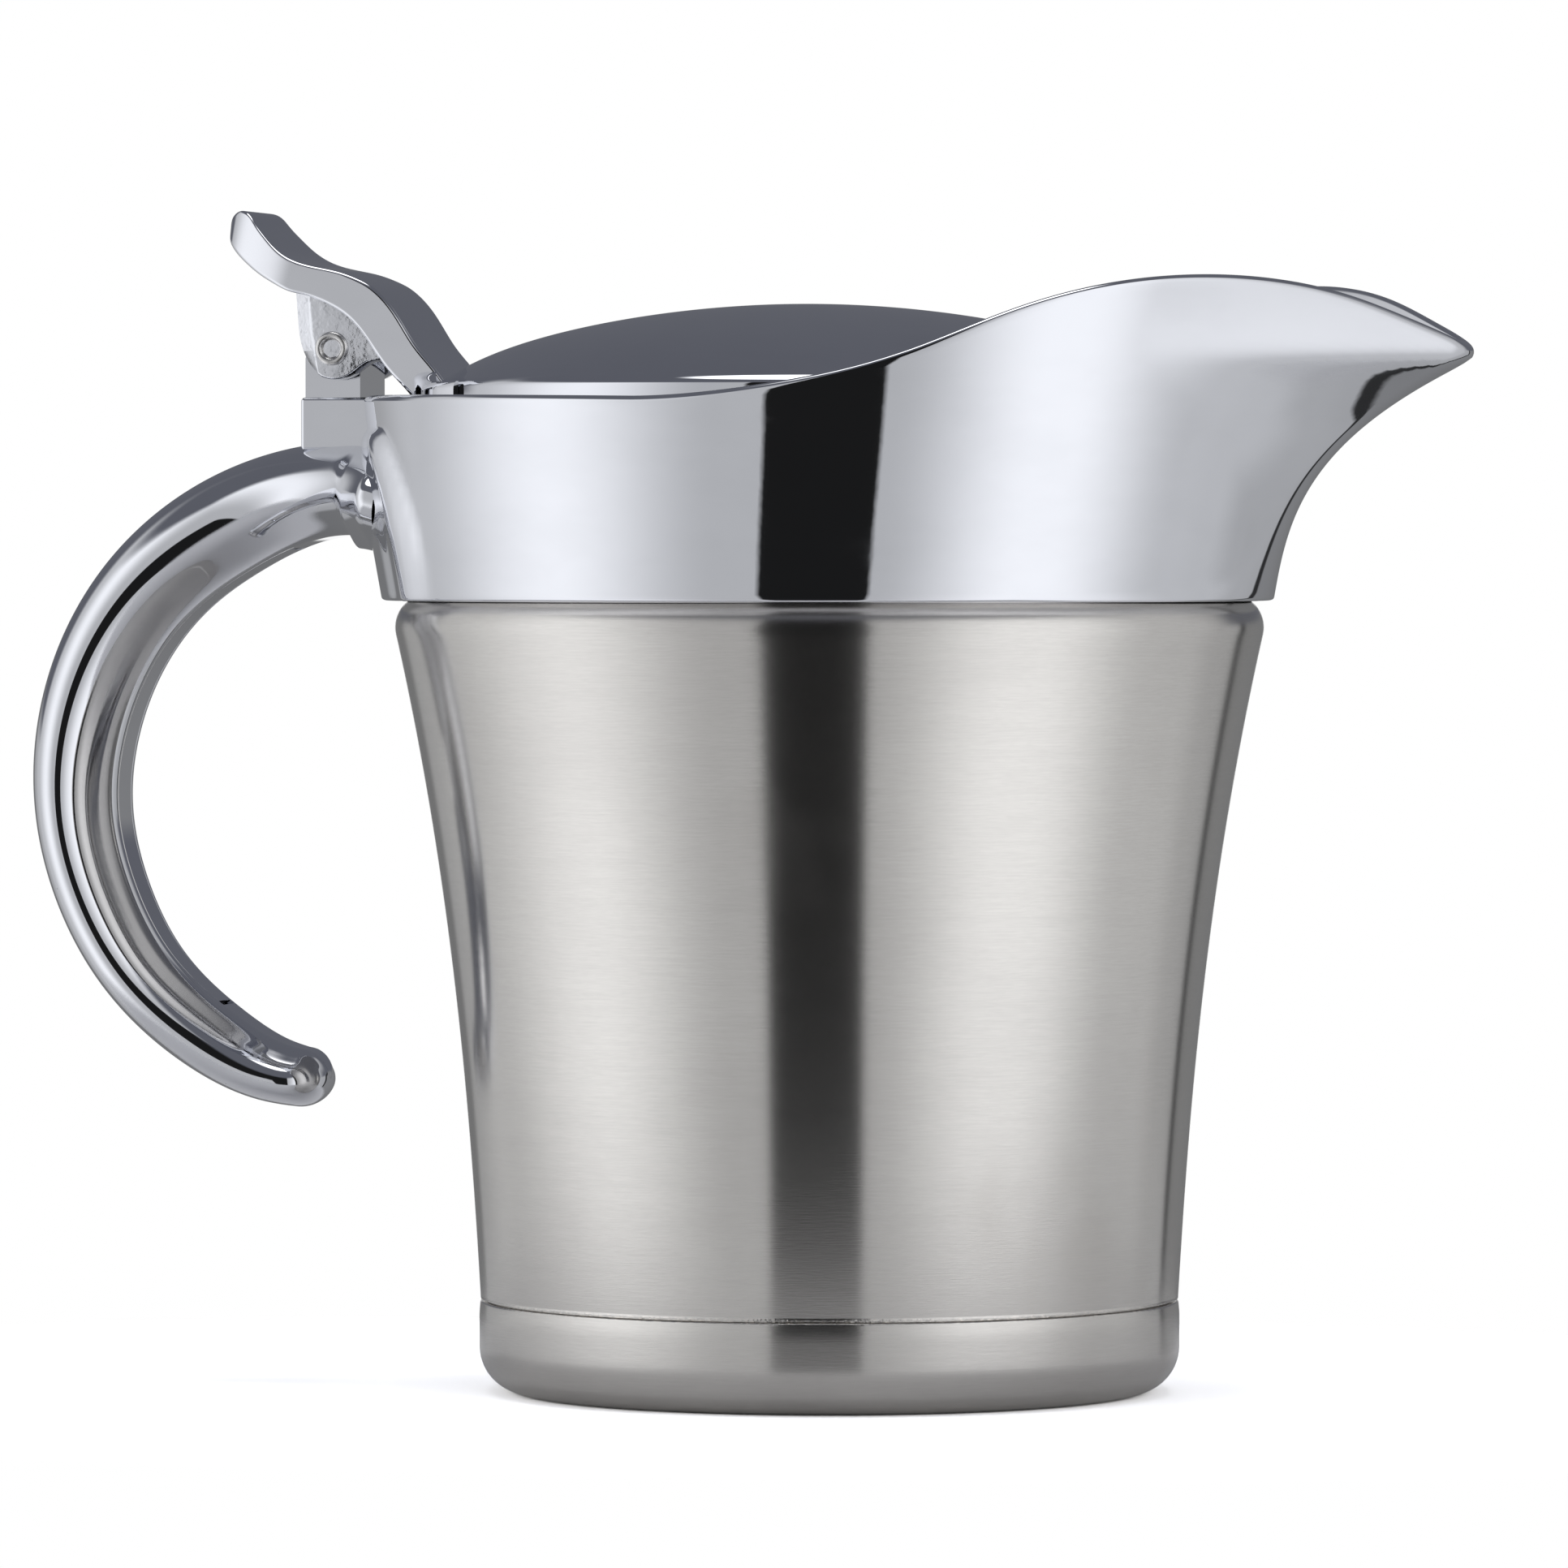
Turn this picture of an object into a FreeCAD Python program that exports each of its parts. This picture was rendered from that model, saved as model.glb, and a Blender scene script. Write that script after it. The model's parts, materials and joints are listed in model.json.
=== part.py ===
import FreeCAD, Part
import math
import os

from FreeCAD import Vector

# Insulated sauce jug. Millimetres, +Z up, the spout towards +X and the handle towards -X.
# The origin is on the body's axis at the underside of the base.

# Steel vessel
WALL = 0.6                  # outer shell, base cup
LINER_WALL = 0.5            # inner vessel
BASE_R = 38.05              # body radius at the base seam
BASE_BULGE = 0.15           # how far the base cup swells past the seam
BASE_CORNER_R = 5.0
BASE_GROOVE_R = 25.0
BASE_GROOVE_DEPTH = 0.35
SEAM_Z = 10.2
SEAM_GAP = 0.2
SEAM_ROLL = 1.8             # height over which the base cup draws in to the seam
LAP = 3.0                   # base cup's spigot inside the shell
SHOULDER_Z = 82.6           # where the flare meets the shoulder's round
SHOULDER_ROUND = 3.6
TAPER = 4.2                 # radius gained by straight taper from seam to shoulder
FLARE = 5.0                 # and by the flare
FLARE_POWER = 2.4
AIR_GAP = 4.4               # between the outer shell and the inner vessel
NECK_STEP = 4.05            # how far the neck stands in from the shoulder
NECK_H = 12.5
NECK_PLAY = 0.2
FLOOR_Z = 8.0               # underside of the inner vessel
FLOOR_CORNER_R = 7.0
SHOULDER_R = BASE_R + TAPER + FLARE
SHOULDER_LEAN = math.atan((TAPER + FLARE * FLARE_POWER) / (SHOULDER_Z - SEAM_Z))
SHOULDER_TOP_Z = SHOULDER_Z + SHOULDER_ROUND * (1 + math.sin(SHOULDER_LEAN))
NECK_R = SHOULDER_R - NECK_STEP
NECK_TOP_Z = SHOULDER_TOP_Z + NECK_H

# Collar with its spout
COLLAR_DIP = 0.7            # how far the collar reaches down past the shoulder's top
COLLAR_STEP = 0.9           # how far it stands out past the shoulder at its sides
COLLAR_H = 21.7             # at the back
COLLAR_WALL = 2.2
SIDE_LEAN = 0.18            # radius gained for each millimetre of height
BACK_OUT = 0.15             # how much farther from the axis the back is than the sides
BACK_LEAN = 0.11
KEEL_OUT = 0.3              # front edge at the bottom, past the sides' radius
KEEL_LEAN = 0.22
KEEL_FLARE = 18.8           # reach gained by the cubic flare at the tip's height
SPOUT_REACH = 23.25         # front edge above the tip, past the sides' radius at the bottom
TIP_RISE = 27.0             # tip height above the collar's bottom edge
NOSE_R = 6.5                # plan radius of the spout's nose
NOSE_ROUND = 41.0           # extra nose radius at the bottom edge
NOSE_RISE = 20.0            # height over which the nose sharpens
NOSE_POWER = 1.6
RIM_RISE = 12.9             # rim's peak above the rim's back
RIM_TIP_RISE = 4.9
RIM_PEAK_IN = 23.4          # the peak's distance in from the tip
RIM_RUN = 58.0              # length of the rim's wave behind its peak
RIM_SLOPE = 0.0145          # rise of the rim behind the wave, for each millimetre back
BACK_STEPS = 120            # fine steps round the back of the plan and round its nose
NOSE_STEPS = 30
PLAN_STEPS = 30             # steps of the surface along the plan and up the wall
PLAN_POWER = 1.5
HEIGHT_STEPS = 9
COLLAR_Z = SHOULDER_TOP_Z - COLLAR_DIP
COLLAR_R = SHOULDER_R + COLLAR_STEP
BACK_R = COLLAR_R + BACK_OUT
KEEL_X = COLLAR_R + KEEL_OUT
KEEL_REACH = COLLAR_R + SPOUT_REACH
RIM_BACK_Z = COLLAR_Z + COLLAR_H
RIM_PEAK_Z = RIM_BACK_Z + RIM_RISE
LOFT_MARGIN = 2.6           # the uncut collar above the peak, and its hollow past both its ends
LOFT_TOP = RIM_PEAK_Z + LOFT_MARGIN
CLEAR = 20.0                # how far a cutting shape reaches past the jug

# Mouth
SEAL_T = 1.0                # neck seal, and the lid's own seal
SEAL_W = 2.5
DECK_T = 2.0                # web that carries the mouth
MOUTH_IN = 2.4              # mouth's edge inside the neck seal
LID_X = -2.5                # centre of the mouth and the lid
DECK_Z = NECK_TOP_Z + LINER_WALL + SEAL_T
MOUTH_R = NECK_R - SEAL_W - MOUTH_IN

# Pad on the collar's back that the handle springs from
PAD_T = 1.9
PAD_DROP = 3.8              # pad's top below the rim's back
PAD_TOP_ANGLE = 24.0
PAD_LOW_ANGLE = 40.0
PAD_H = COLLAR_H - PAD_DROP
PAD_TOP_Z = COLLAR_Z + PAD_H

# Ring that clamps the collar to the neck
CLAMP_RISE = 1.9            # above the collar's bottom edge
CLAMP_H = 5.6
CLAMP_PLAY = 0.25
CLAMP_SPLIT = 2.0

# Handle: a C-shaped hook, open at the bottom
HANDLE_REACH = 41.66        # behind the collar's back
HANDLE_DROP = 73.9          # below the pad's top
HANDLE_HALF = 10.0          # half width
HANDLE_DEPTH = 11.3
HANDLE_FLAT = 3.3           # half width of the face inside the grip
CROWN_DROP = 1.6
HANDLE_END_R = 3.2
COVER_HALF = 2.5
COVER_T = 1.5
COVER_PLAY = 0.05
CHANNEL_DEPTH = 6.0
HANDLE_SCREW_DROP = 6.8     # below the pad's top
HANDLE_SCREW_SIDE = 5.0
HANDLE_SCREW_LENGTH = 10.0
HANDLE_SEAT = 0.35          # the heads' seat proud of the wall's inside
STRIP_OVER = 2.0            # how far the strip that cuts the cover's seat reaches into the grip

# Hinge
PIN_BACK = 5.5              # behind the collar's back
PIN_RISE = 5.8              # above the rim's back
PIN_R = 1.5
PIN_PLAY = 0.06
PIN_RING_R = 1.85
PIN_RING_T = 0.4
PIN_HEAD_R = 2.4
PIN_HEAD_T = 0.8
POST_BACK = 3.9             # post's faces behind and before the pin
POST_FRONT = 2.3
POST_HALF = 5.25
POST_ROUND = 3.3
BLOCK_HALF = 7.5
BLOCK_H = 6.5
BLOCK_RISE = 0.5            # block's top above the rim at the wave's back end
BLOCK_LAP = 1.0             # the post's foot inside its block
BLOCK_ROUND = 0.6
POST_SCREW_DROP = 2.6       # below the rim's back
POST_SCREW_SIDE = 4.0
POST_SCREW_LENGTH = 5.5
POST_SEAT = 1.4             # the heads' seat inside the wall
EAR_PLAY = 0.2
EAR_T = 3.2
PIN_X = -BACK_R - PIN_BACK
PIN_Z = RIM_BACK_Z + PIN_RISE
POST_BACK_X = PIN_X - POST_BACK
POST_FRONT_X = PIN_X + POST_FRONT

# Lever and lid
LEVER_RISE = 15.25          # lever's crest above the pin, which also sets its other sizes
LEVER_LIP = 0.35            # how far the bar stands out past the ears
LID_LAP = 2.1               # how far the lid reaches past the mouth
LID_LIFT = 0.5              # lid's foot above the deck
LID_SKIRT = 6.6
LID_RISE = 8.5
LID_ROUND = 0.2             # share of the dome's fall that its rounded edge takes
LID_WALL = 1.2
LID_BREAK = 0.45            # small chamfer between skirt and dome
FOOT_T = 1.7
FOOT_ANGLE = 38.0
FOOT_GAP = 0.05
FOOT_LIFT = 0.6
PLUG_PLAY = 0.9
PLUG_DROP = 1.8             # plug's end below the deck
PLUG_TAPER = 0.9
LINER_T = 1.5
FLANGE_T = 1.3
LID_SEAL_LIFT = 0.1
FOAM_GAP = 0.9
LEVER_HALF = POST_HALF + EAR_PLAY + EAR_T + LEVER_LIP
LID_R = MOUTH_R + LID_LAP
LID_FOOT_Z = DECK_Z + DECK_T + LID_LIFT
LID_EDGE_Z = LID_FOOT_Z + LID_SKIRT
LID_TOP_Z = LID_EDGE_Z + LID_RISE
PLUG_R = MOUTH_R - PLUG_PLAY
PLUG_Z = DECK_Z - PLUG_DROP

# Screws
SCREW_R = 1.1
SCREW_HEAD_R = 2.0
SCREW_HEAD_T = 1.3
SCREW_SLOT = 0.5
SCREW_PLAY = 0.02
SEAT_PLAY = 0.2             # round a sunk head
SEAT_T = 3.5
POST_HEAD_R = 1.7
SMALL_SCREW_R = 0.8         # the two that hold the lever to the lid
SMALL_HEAD_R = 1.35
SMALL_SCREW_RISE = 3.35     # above the lid's foot
SMALL_SCREW_ANGLE = 7.0
SMALL_SCREW_LENGTH = 2.4


def at(x, z, y=0.0):
    return Vector(x, y, z)


def line(a, b):
    return Part.LineSegment(a, b).toShape()


def arc(a, b, c):
    return Part.Arc(a, b, c).toShape()


def curve(points, start=None, end=None):
    spline = Part.BSplineCurve()
    if start is None:
        spline.interpolate(points)
    else:
        spline.interpolate(points, InitialTangent=start, FinalTangent=end)
    return spline.toShape()


def path(start, *steps):
    """Edges from point to point. A step is a point, ("arc", middle, end) or ("curve", points)."""
    edges = []
    here = start
    for step in steps:
        if isinstance(step, tuple) and step[0] == "arc":
            edges.append(arc(here, step[1], step[2]))
            here = step[2]
        elif isinstance(step, tuple):
            edges.append(curve([here] + step[1]))
            here = step[1][-1]
        else:
            edges.append(line(here, step))
            here = step
    if here.distanceToPoint(start) > 1e-6:
        edges.append(line(here, start))
    return Part.Wire(edges)


def spin(wire, centre_x=0.0, angle=360.0):
    face = Part.Face(wire)
    return face.revolve(Vector(centre_x, 0, 0), Vector(0, 0, 1), angle)


def extrude_y(wire, low, high):
    face = Part.Face(wire)
    face.translate(Vector(0, low, 0))
    return face.extrude(Vector(0, high - low, 0))


def ring(inner, outer, low, high, centre_x=0.0):
    tube = Part.makeCylinder(outer, high - low, Vector(centre_x, 0, low))
    return tube.cut(Part.makeCylinder(inner, high - low, Vector(centre_x, 0, low)))


def one(shape):
    """The single solid of a boolean's result."""
    shape = shape.removeSplitter()
    return max(shape.Solids, key=lambda solid: solid.Volume)


def save(name, *solids):
    shape = solids[0] if len(solids) == 1 else Part.makeCompound(solids)
    shape.exportStep(f"parts/{name}.step")


# Steel vessel

def body_r(z):
    t = max(0.0, (z - SEAM_Z) / (SHOULDER_Z - SEAM_Z))
    return BASE_R + TAPER * t + FLARE * t ** FLARE_POWER


def body_side(inset, low, high, count=7):
    """Points on the body's side, from low to high, moved in by inset."""
    heights = [low + (high - low) * i / (count - 1) for i in range(count)]
    return [at(body_r(z) - inset, z) for z in heights]


def shoulder_centre():
    return SHOULDER_R - SHOULDER_ROUND * math.cos(SHOULDER_LEAN), SHOULDER_TOP_Z - SHOULDER_ROUND


def shoulder_point(radius, angle):
    x, z = shoulder_centre()
    return at(x + radius * math.cos(angle), z + radius * math.sin(angle))


def outer_shell():
    x = shoulder_centre()[0]
    middle = (math.pi / 2 - SHOULDER_LEAN) / 2
    top = SHOULDER_TOP_Z
    inner_round = SHOULDER_ROUND - WALL
    outside = body_side(0.0, SEAM_Z + SEAM_GAP / 2, SHOULDER_Z)
    inside = body_side(WALL, SEAM_Z + SEAM_GAP / 2, SHOULDER_Z)
    inside[-1] = shoulder_point(inner_round, -SHOULDER_LEAN)
    wire = path(
        outside[0],
        ("curve", outside[1:]),
        ("arc", shoulder_point(SHOULDER_ROUND, middle), at(x, top)),
        at(NECK_R, top),
        at(NECK_R, NECK_TOP_Z),
        at(NECK_R - WALL, NECK_TOP_Z),
        at(NECK_R - WALL, top - WALL),
        at(x, top - WALL),
        ("arc", shoulder_point(inner_round, middle), inside[-1]),
        ("curve", inside[-2::-1]),
    )
    return spin(wire)


def base_cup():
    seam = SEAM_Z - SEAM_GAP / 2
    low_r = BASE_R + BASE_BULGE
    spigot = BASE_R - WALL - SEAM_GAP / 2
    side = seam - SEAM_ROLL
    turn = BASE_CORNER_R * (1 - math.sqrt(0.5))
    inner_turn = WALL + (BASE_CORNER_R - WALL) * (1 - math.sqrt(0.5))
    wire = path(
        at(0, 0),
        at(low_r - BASE_CORNER_R, 0),
        ("arc", at(low_r - turn, turn), at(low_r, BASE_CORNER_R)),
        at(low_r, side),
        at(BASE_R, seam),
        at(spigot, seam),
        at(spigot, seam + LAP),
        at(spigot - WALL, seam + LAP),
        at(spigot - WALL, side),
        at(low_r - WALL - SEAM_GAP, side - 1.0),
        at(low_r - WALL - SEAM_GAP, BASE_CORNER_R),
        ("arc", at(low_r - SEAM_GAP - inner_turn, inner_turn), at(low_r - SEAM_GAP - BASE_CORNER_R, WALL)),
        at(0, WALL),
    )
    cup = spin(wire)
    groove = Part.makeTorus(BASE_GROOVE_R, 2 * BASE_GROOVE_DEPTH, Vector(0, 0, -BASE_GROOVE_DEPTH))
    return one(cup.cut(groove))


def inner_vessel():
    inset = WALL + AIR_GAP
    rim_z = NECK_TOP_Z + LINER_WALL
    neck = NECK_R - WALL - NECK_PLAY
    start = FLOOR_Z + FLOOR_CORNER_R
    outside = body_side(inset, start, SHOULDER_Z)
    inside = body_side(inset + LINER_WALL, start, SHOULDER_Z)
    corner = FLOOR_CORNER_R * (1 - math.sqrt(0.5))
    inner_corner = (FLOOR_CORNER_R - LINER_WALL) * (1 - math.sqrt(0.5))
    wire = path(
        at(0, FLOOR_Z),
        at(outside[0].x - FLOOR_CORNER_R, FLOOR_Z),
        ("arc", at(outside[0].x - corner, FLOOR_Z + corner), outside[0]),
        ("curve", outside[1:]),
        at(neck, SHOULDER_TOP_Z),
        at(neck, NECK_TOP_Z),
        at(NECK_R, NECK_TOP_Z),
        at(NECK_R, rim_z),
        at(neck - LINER_WALL, rim_z),
        at(neck - LINER_WALL, SHOULDER_TOP_Z),
        inside[-1],
        ("curve", inside[-2::-1]),
        ("arc",
         at(inside[0].x - inner_corner, FLOOR_Z + LINER_WALL + inner_corner),
         at(inside[0].x - FLOOR_CORNER_R + LINER_WALL, FLOOR_Z + LINER_WALL)),
        at(0, FLOOR_Z + LINER_WALL),
    )
    return spin(wire)


# Collar

def keel_x(z):
    """Front edge of the collar: leaning, then flaring in a cubic, then upright above the tip."""
    rise = z - COLLAR_Z
    flared = KEEL_X + KEEL_LEAN * rise + KEEL_FLARE * (rise / TIP_RISE) ** 3
    return KEEL_REACH - math.log(1 + math.exp(KEEL_REACH - flared))


def collar_plan(z, inset):
    """Two circles that make the teardrop plan: big centre and radius, nose centre and radius."""
    rise = z - COLLAR_Z
    side_r = COLLAR_R + SIDE_LEAN * rise
    centre = side_r - (BACK_R + BACK_LEAN * rise)
    sharp = max(0.0, 1 - max(0.0, rise) / NOSE_RISE)
    nose_r = NOSE_R + NOSE_ROUND * sharp ** NOSE_POWER
    slope = (keel_x(z + 0.1) - keel_x(z - 0.1)) / 0.2
    front = keel_x(z) - inset * math.sqrt(1 + slope * slope)
    return centre, side_r - inset, front - (nose_r - inset), nose_r - inset


def pad_swell(angle, z):
    """How far the pad stands out of the collar's back, at an angle from the handle's side."""
    t = (z - COLLAR_Z) / (PAD_TOP_Z - COLLAR_Z)
    if t >= 1:
        return 0.0
    half = PAD_LOW_ANGLE + (PAD_TOP_ANGLE - PAD_LOW_ANGLE) * max(0.0, t)
    edge = max(0.0, 1 - (math.degrees(abs(angle)) / half) ** 4)
    fade = min(1.0, (1 - t) * 4)
    return PAD_T * edge * fade * fade * (3 - 2 * fade)


def half_plan(z, inset, side):
    """Points round one side of the collar's plan, from the middle of the back to the tip of the nose."""
    centre, side_r, nose, nose_r = collar_plan(z, inset)
    turn = math.acos(min(0.97, (side_r - nose_r) / (nose - centre)))
    points = []
    for i in range(BACK_STEPS + 1):
        angle = (math.pi - turn) * i / BACK_STEPS
        radius = side_r + (0.0 if inset else pad_swell(angle, z))
        points.append(Vector(centre - radius * math.cos(angle), side * radius * math.sin(angle), z))
    for i in range(NOSE_STEPS + 1):
        angle = turn * (1 - i / NOSE_STEPS)
        points.append(Vector(nose + nose_r * math.cos(angle), side * nose_r * math.sin(angle), z))
    return respaced(points)


def respaced(points):
    """The same line through PLAN_STEPS steps, which shorten towards its end as the nose needs."""
    lengths = [0.0]
    for i in range(1, len(points)):
        lengths.append(lengths[-1] + points[i].distanceToPoint(points[i - 1]))
    spaced = []
    k = 1
    for step in range(PLAN_STEPS + 1):
        length = lengths[-1] * plan_mark(step)
        while k < len(points) - 1 and lengths[k] < length:
            k += 1
        share = (length - lengths[k - 1]) / (lengths[k] - lengths[k - 1])
        spaced.append(points[k - 1] + (points[k] - points[k - 1]) * share)
    return spaced


def plan_mark(step):
    return 1 - (1 - step / PLAN_STEPS) ** PLAN_POWER


def fit(points, marks):
    spline = Part.BSplineCurve()
    spline.interpolate(Points=points, Parameters=marks)
    return spline


def surface_through(rows):
    """A smooth surface through rows of points, each row at its own height."""
    along = [plan_mark(step) for step in range(PLAN_STEPS + 1)]
    low, high = rows[0][0].z, rows[-1][0].z
    up = [(row[0].z - low) / (high - low) for row in rows]
    flat = [fit(row, along) for row in rows]
    columns = [fit(list(column), up) for column in zip(*[level.getPoles() for level in flat])]
    poles = [list(level) for level in zip(*[column.getPoles() for column in columns])]
    skin = Part.BSplineSurface()
    skin.buildFromPolesMultsKnots(
        poles,
        columns[0].getMultiplicities(), flat[0].getMultiplicities(),
        columns[0].getKnots(), flat[0].getKnots(),
        False, False, columns[0].Degree, flat[0].Degree,
    )
    return skin.toShape()


def collar_form(inset, low, high):
    """The collar's outer form as a solid, or its hollow where an inset is given."""
    step = (high - low) / HEIGHT_STEPS
    heights = [low + step * i for i in range(HEIGHT_STEPS + 1)]
    faces = [surface_through([half_plan(z, inset, side) for z in heights]) for side in (1, -1)]
    for z in (low, high):
        ends = [edge for face in faces for edge in face.Edges
                if abs(edge.CenterOfMass.z - z) < 1e-6]
        faces.append(Part.Face(Part.Wire(Part.__sortEdges__(ends))))
    shell = Part.makeShell(faces)
    shell.sewShape()
    solid = Part.makeSolid(shell)
    if solid.Volume < 0:
        solid.reverse()
    return solid


def rim_point(ahead, share):
    """Measured ahead of the rim's peak, and as a share of the rim's rise."""
    return at(KEEL_REACH - RIM_PEAK_IN + ahead, RIM_BACK_Z + share * RIM_RISE)


def rim_cutter():
    """Everything above the rim, whose height changes along the jug only."""
    tip = at(KEEL_REACH + 0.2, RIM_BACK_Z + RIM_TIP_RISE)
    wave = [
        rim_point(-RIM_RUN, 0.0),
        rim_point(-0.76 * RIM_RUN, 0.09),
        rim_point(-0.52 * RIM_RUN, 0.33),
        rim_point(-0.30 * RIM_RUN, 0.73),
        rim_point(0, 1.0),
        rim_point(0.49 * RIM_PEAK_IN, 0.86),
        rim_point(0.79 * RIM_PEAK_IN, 0.62),
        tip,
    ]
    behind = -KEEL_REACH
    back = at(behind, RIM_BACK_Z + RIM_SLOPE * (wave[0].x - behind))
    past = KEEL_REACH + CLEAR
    over = LOFT_TOP + CLEAR
    edges = [
        line(back, wave[0]),
        curve(wave, Vector(CLEAR, 0, -CLEAR * RIM_SLOPE), Vector(CLEAR / 2, 0, -CLEAR / 2)),
        line(tip, at(past, tip.z - CLEAR / 2)),
        line(at(past, tip.z - CLEAR / 2), at(past, over)),
        line(at(past, over), at(behind, over)),
        line(at(behind, over), back),
    ]
    return extrude_y(Part.Wire(edges), -KEEL_REACH, KEEL_REACH)


def collar_outside():
    return collar_form(0.0, COLLAR_Z, LOFT_TOP)


def collar(outside):
    hollow = collar_form(COLLAR_WALL, COLLAR_Z - LOFT_MARGIN / 5, LOFT_TOP + LOFT_MARGIN / 5)
    wide = 2 * KEEL_REACH
    deck = Part.makeBox(wide, wide, DECK_T, Vector(-wide / 2, -wide / 2, DECK_Z))
    body = outside.cut(hollow.cut(deck))
    body = body.cut(Part.makeCylinder(MOUTH_R, 3 * DECK_T, Vector(LID_X, 0, DECK_Z - DECK_T)))
    return one(body.cut(rim_cutter()))


def neck_seal():
    return ring(NECK_R - SEAL_W, NECK_R, DECK_Z - SEAL_T, DECK_Z)


def clamp_ring():
    outer = BACK_R - COLLAR_WALL - CLAMP_PLAY
    low = COLLAR_Z + CLAMP_RISE
    hoop = ring(NECK_R + CLAMP_PLAY / 2, outer, low, low + CLAMP_H)
    split = Part.makeBox(2 * COLLAR_WALL + 5, CLAMP_SPLIT, 2 * CLAMP_H,
                         Vector(NECK_R - 1, -CLAMP_SPLIT / 2, low - CLAMP_H / 2))
    return one(hoop.cut(split))


# Handle

def handle_point(back, drop):
    """Shares of the reach behind the collar's back and of the drop below the top of its pad."""
    return at(-BACK_R - back * HANDLE_REACH, PAD_TOP_Z - drop * HANDLE_DROP)


def handle_line():
    """Outer ridge of the handle, from the collar round to the tip."""
    return curve([
        handle_point(-0.031, 0.014),
        handle_point(0.245, 0.009),
        handle_point(0.510, 0.057),
        handle_point(0.761, 0.161),
        handle_point(0.931, 0.310),
        handle_point(1.000, 0.503),
        handle_point(0.948, 0.676),
        handle_point(0.805, 0.826),
        handle_point(0.577, 0.942),
        handle_point(0.376, 0.990),
        handle_point(0.190, 1.000),
    ])


# Width and depth at even steps along the ridge, as shares of the full ones.
HANDLE_SECTIONS = [
    (1.22, 0.92),
    (1.05, 0.94),
    (1.00, 1.00),
    (1.00, 1.02),
    (1.00, 0.98),
    (1.00, 0.93),
    (1.00, 0.87),
    (0.96, 0.83),
    (0.89, 0.77),
    (0.80, 0.71),
]
END_WIDTH = 0.73
END_ANGLES = (0.0, 25.0, 45.0, 62.0, 78.0)


def handle_frame(ridge, along, half, depth, sink):
    """Middle of a section's outer face, the way out of the grip, half width and depth."""
    mark = ridge.getParameterByLength(along)
    tangent = ridge.tangentAt(mark)
    out = Vector(tangent.z, 0, -tangent.x)
    return ridge.valueAt(mark) - out * sink, out, half, depth


def handle_run():
    ridge = handle_line()
    step = (ridge.Length - HANDLE_END_R) / len(HANDLE_SECTIONS)
    frames = []
    for i, (width, depth) in enumerate(HANDLE_SECTIONS):
        frames.append(handle_frame(ridge, step * i, HANDLE_HALF * width, HANDLE_DEPTH * depth, 0.0))
    return frames


def handle_end():
    """Sections of the rounded end, from the end of the run."""
    ridge = handle_line()
    frames = []
    for angle in END_ANGLES:
        turn = math.radians(angle)
        along = ridge.Length - HANDLE_END_R * (1 - math.sin(turn))
        sink = HANDLE_END_R * (1 - math.cos(turn))
        half = HANDLE_HALF * END_WIDTH - sink
        frames.append(handle_frame(ridge, along, half, 2 * (HANDLE_END_R - sink), sink))
    return frames


def section_point(frame, across, down):
    """Across is the jug's Y. Down is measured from the ridge into the grip."""
    spot, out, _, _ = frame
    return spot - out * down + Vector(0, across, 0)


def shell_wire(frame):
    _, _, half, deep = frame
    drop = CROWN_DROP * min(half / HANDLE_HALF, deep / HANDLE_DEPTH)
    flat = HANDLE_FLAT * half / HANDLE_HALF

    def side(sign):
        return [
            section_point(frame, sign * half * 0.80, drop),
            section_point(frame, sign * half * 0.985, deep * 0.30),
            section_point(frame, sign * half * 0.93, deep * 0.52),
            section_point(frame, sign * (flat + (half - flat) * 0.42), deep * 0.83),
            section_point(frame, sign * flat, deep),
        ]

    right, left = side(1), side(-1)
    return Part.Wire([
        arc(left[0], section_point(frame, 0, 0), right[0]),
        curve(right),
        line(right[-1], left[-1]),
        curve(left[::-1]),
    ])


def strip_wire(frame, half, top, bottom):
    return Part.makePolygon([
        section_point(frame, -half, top),
        section_point(frame, half, top),
        section_point(frame, half, bottom),
        section_point(frame, -half, bottom),
        section_point(frame, -half, top),
    ])


def handle_strip(frames, half, top):
    """A strip from outside the grip into the handle, its top measured up from the inner face."""
    return Part.makeLoft([strip_wire(f, half, f[3] - top, f[3] + STRIP_OVER) for f in frames], True, False)


def handle_pieces(outside):
    run, end = handle_run(), handle_end()
    grip = Part.makeLoft([shell_wire(f) for f in run + end[:1]], True, False)
    solid = grip.fuse(Part.makeLoft([shell_wire(f) for f in end], True, False))
    covered = run[1:]
    shell = solid.cut(outside).cut(handle_strip(covered, COVER_HALF, CHANNEL_DEPTH))
    cover = solid.common(handle_strip(covered, COVER_HALF - COVER_PLAY, COVER_T))
    return one(shell), one(cover)


# Hinge post, pin and lever

def post_top():
    """Ends and crown of the arc over the pin's bore."""
    front_z = PIN_Z + math.sqrt(POST_ROUND ** 2 - POST_FRONT ** 2)
    back_angle = math.radians(150)
    back = at(PIN_X + POST_ROUND * math.cos(back_angle), PIN_Z + POST_ROUND * math.sin(back_angle))
    return at(POST_FRONT_X, front_z), at(PIN_X, PIN_Z + POST_ROUND), back


def post_block():
    """The block under the post, its top edge at the back rounded."""
    turn = BLOCK_ROUND * (1 - math.sqrt(0.5))
    top = RIM_BACK_Z + BLOCK_RISE
    wire = path(
        at(POST_BACK_X, RIM_BACK_Z - BLOCK_H),
        at(POST_BACK_X, top - BLOCK_ROUND),
        ("arc", at(POST_BACK_X + turn, top - turn), at(POST_BACK_X + BLOCK_ROUND, top)),
        at(-BACK_R, top),
        at(-BACK_R, RIM_BACK_Z - BLOCK_H),
    )
    return extrude_y(wire, -BLOCK_HALF, BLOCK_HALF)


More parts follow.
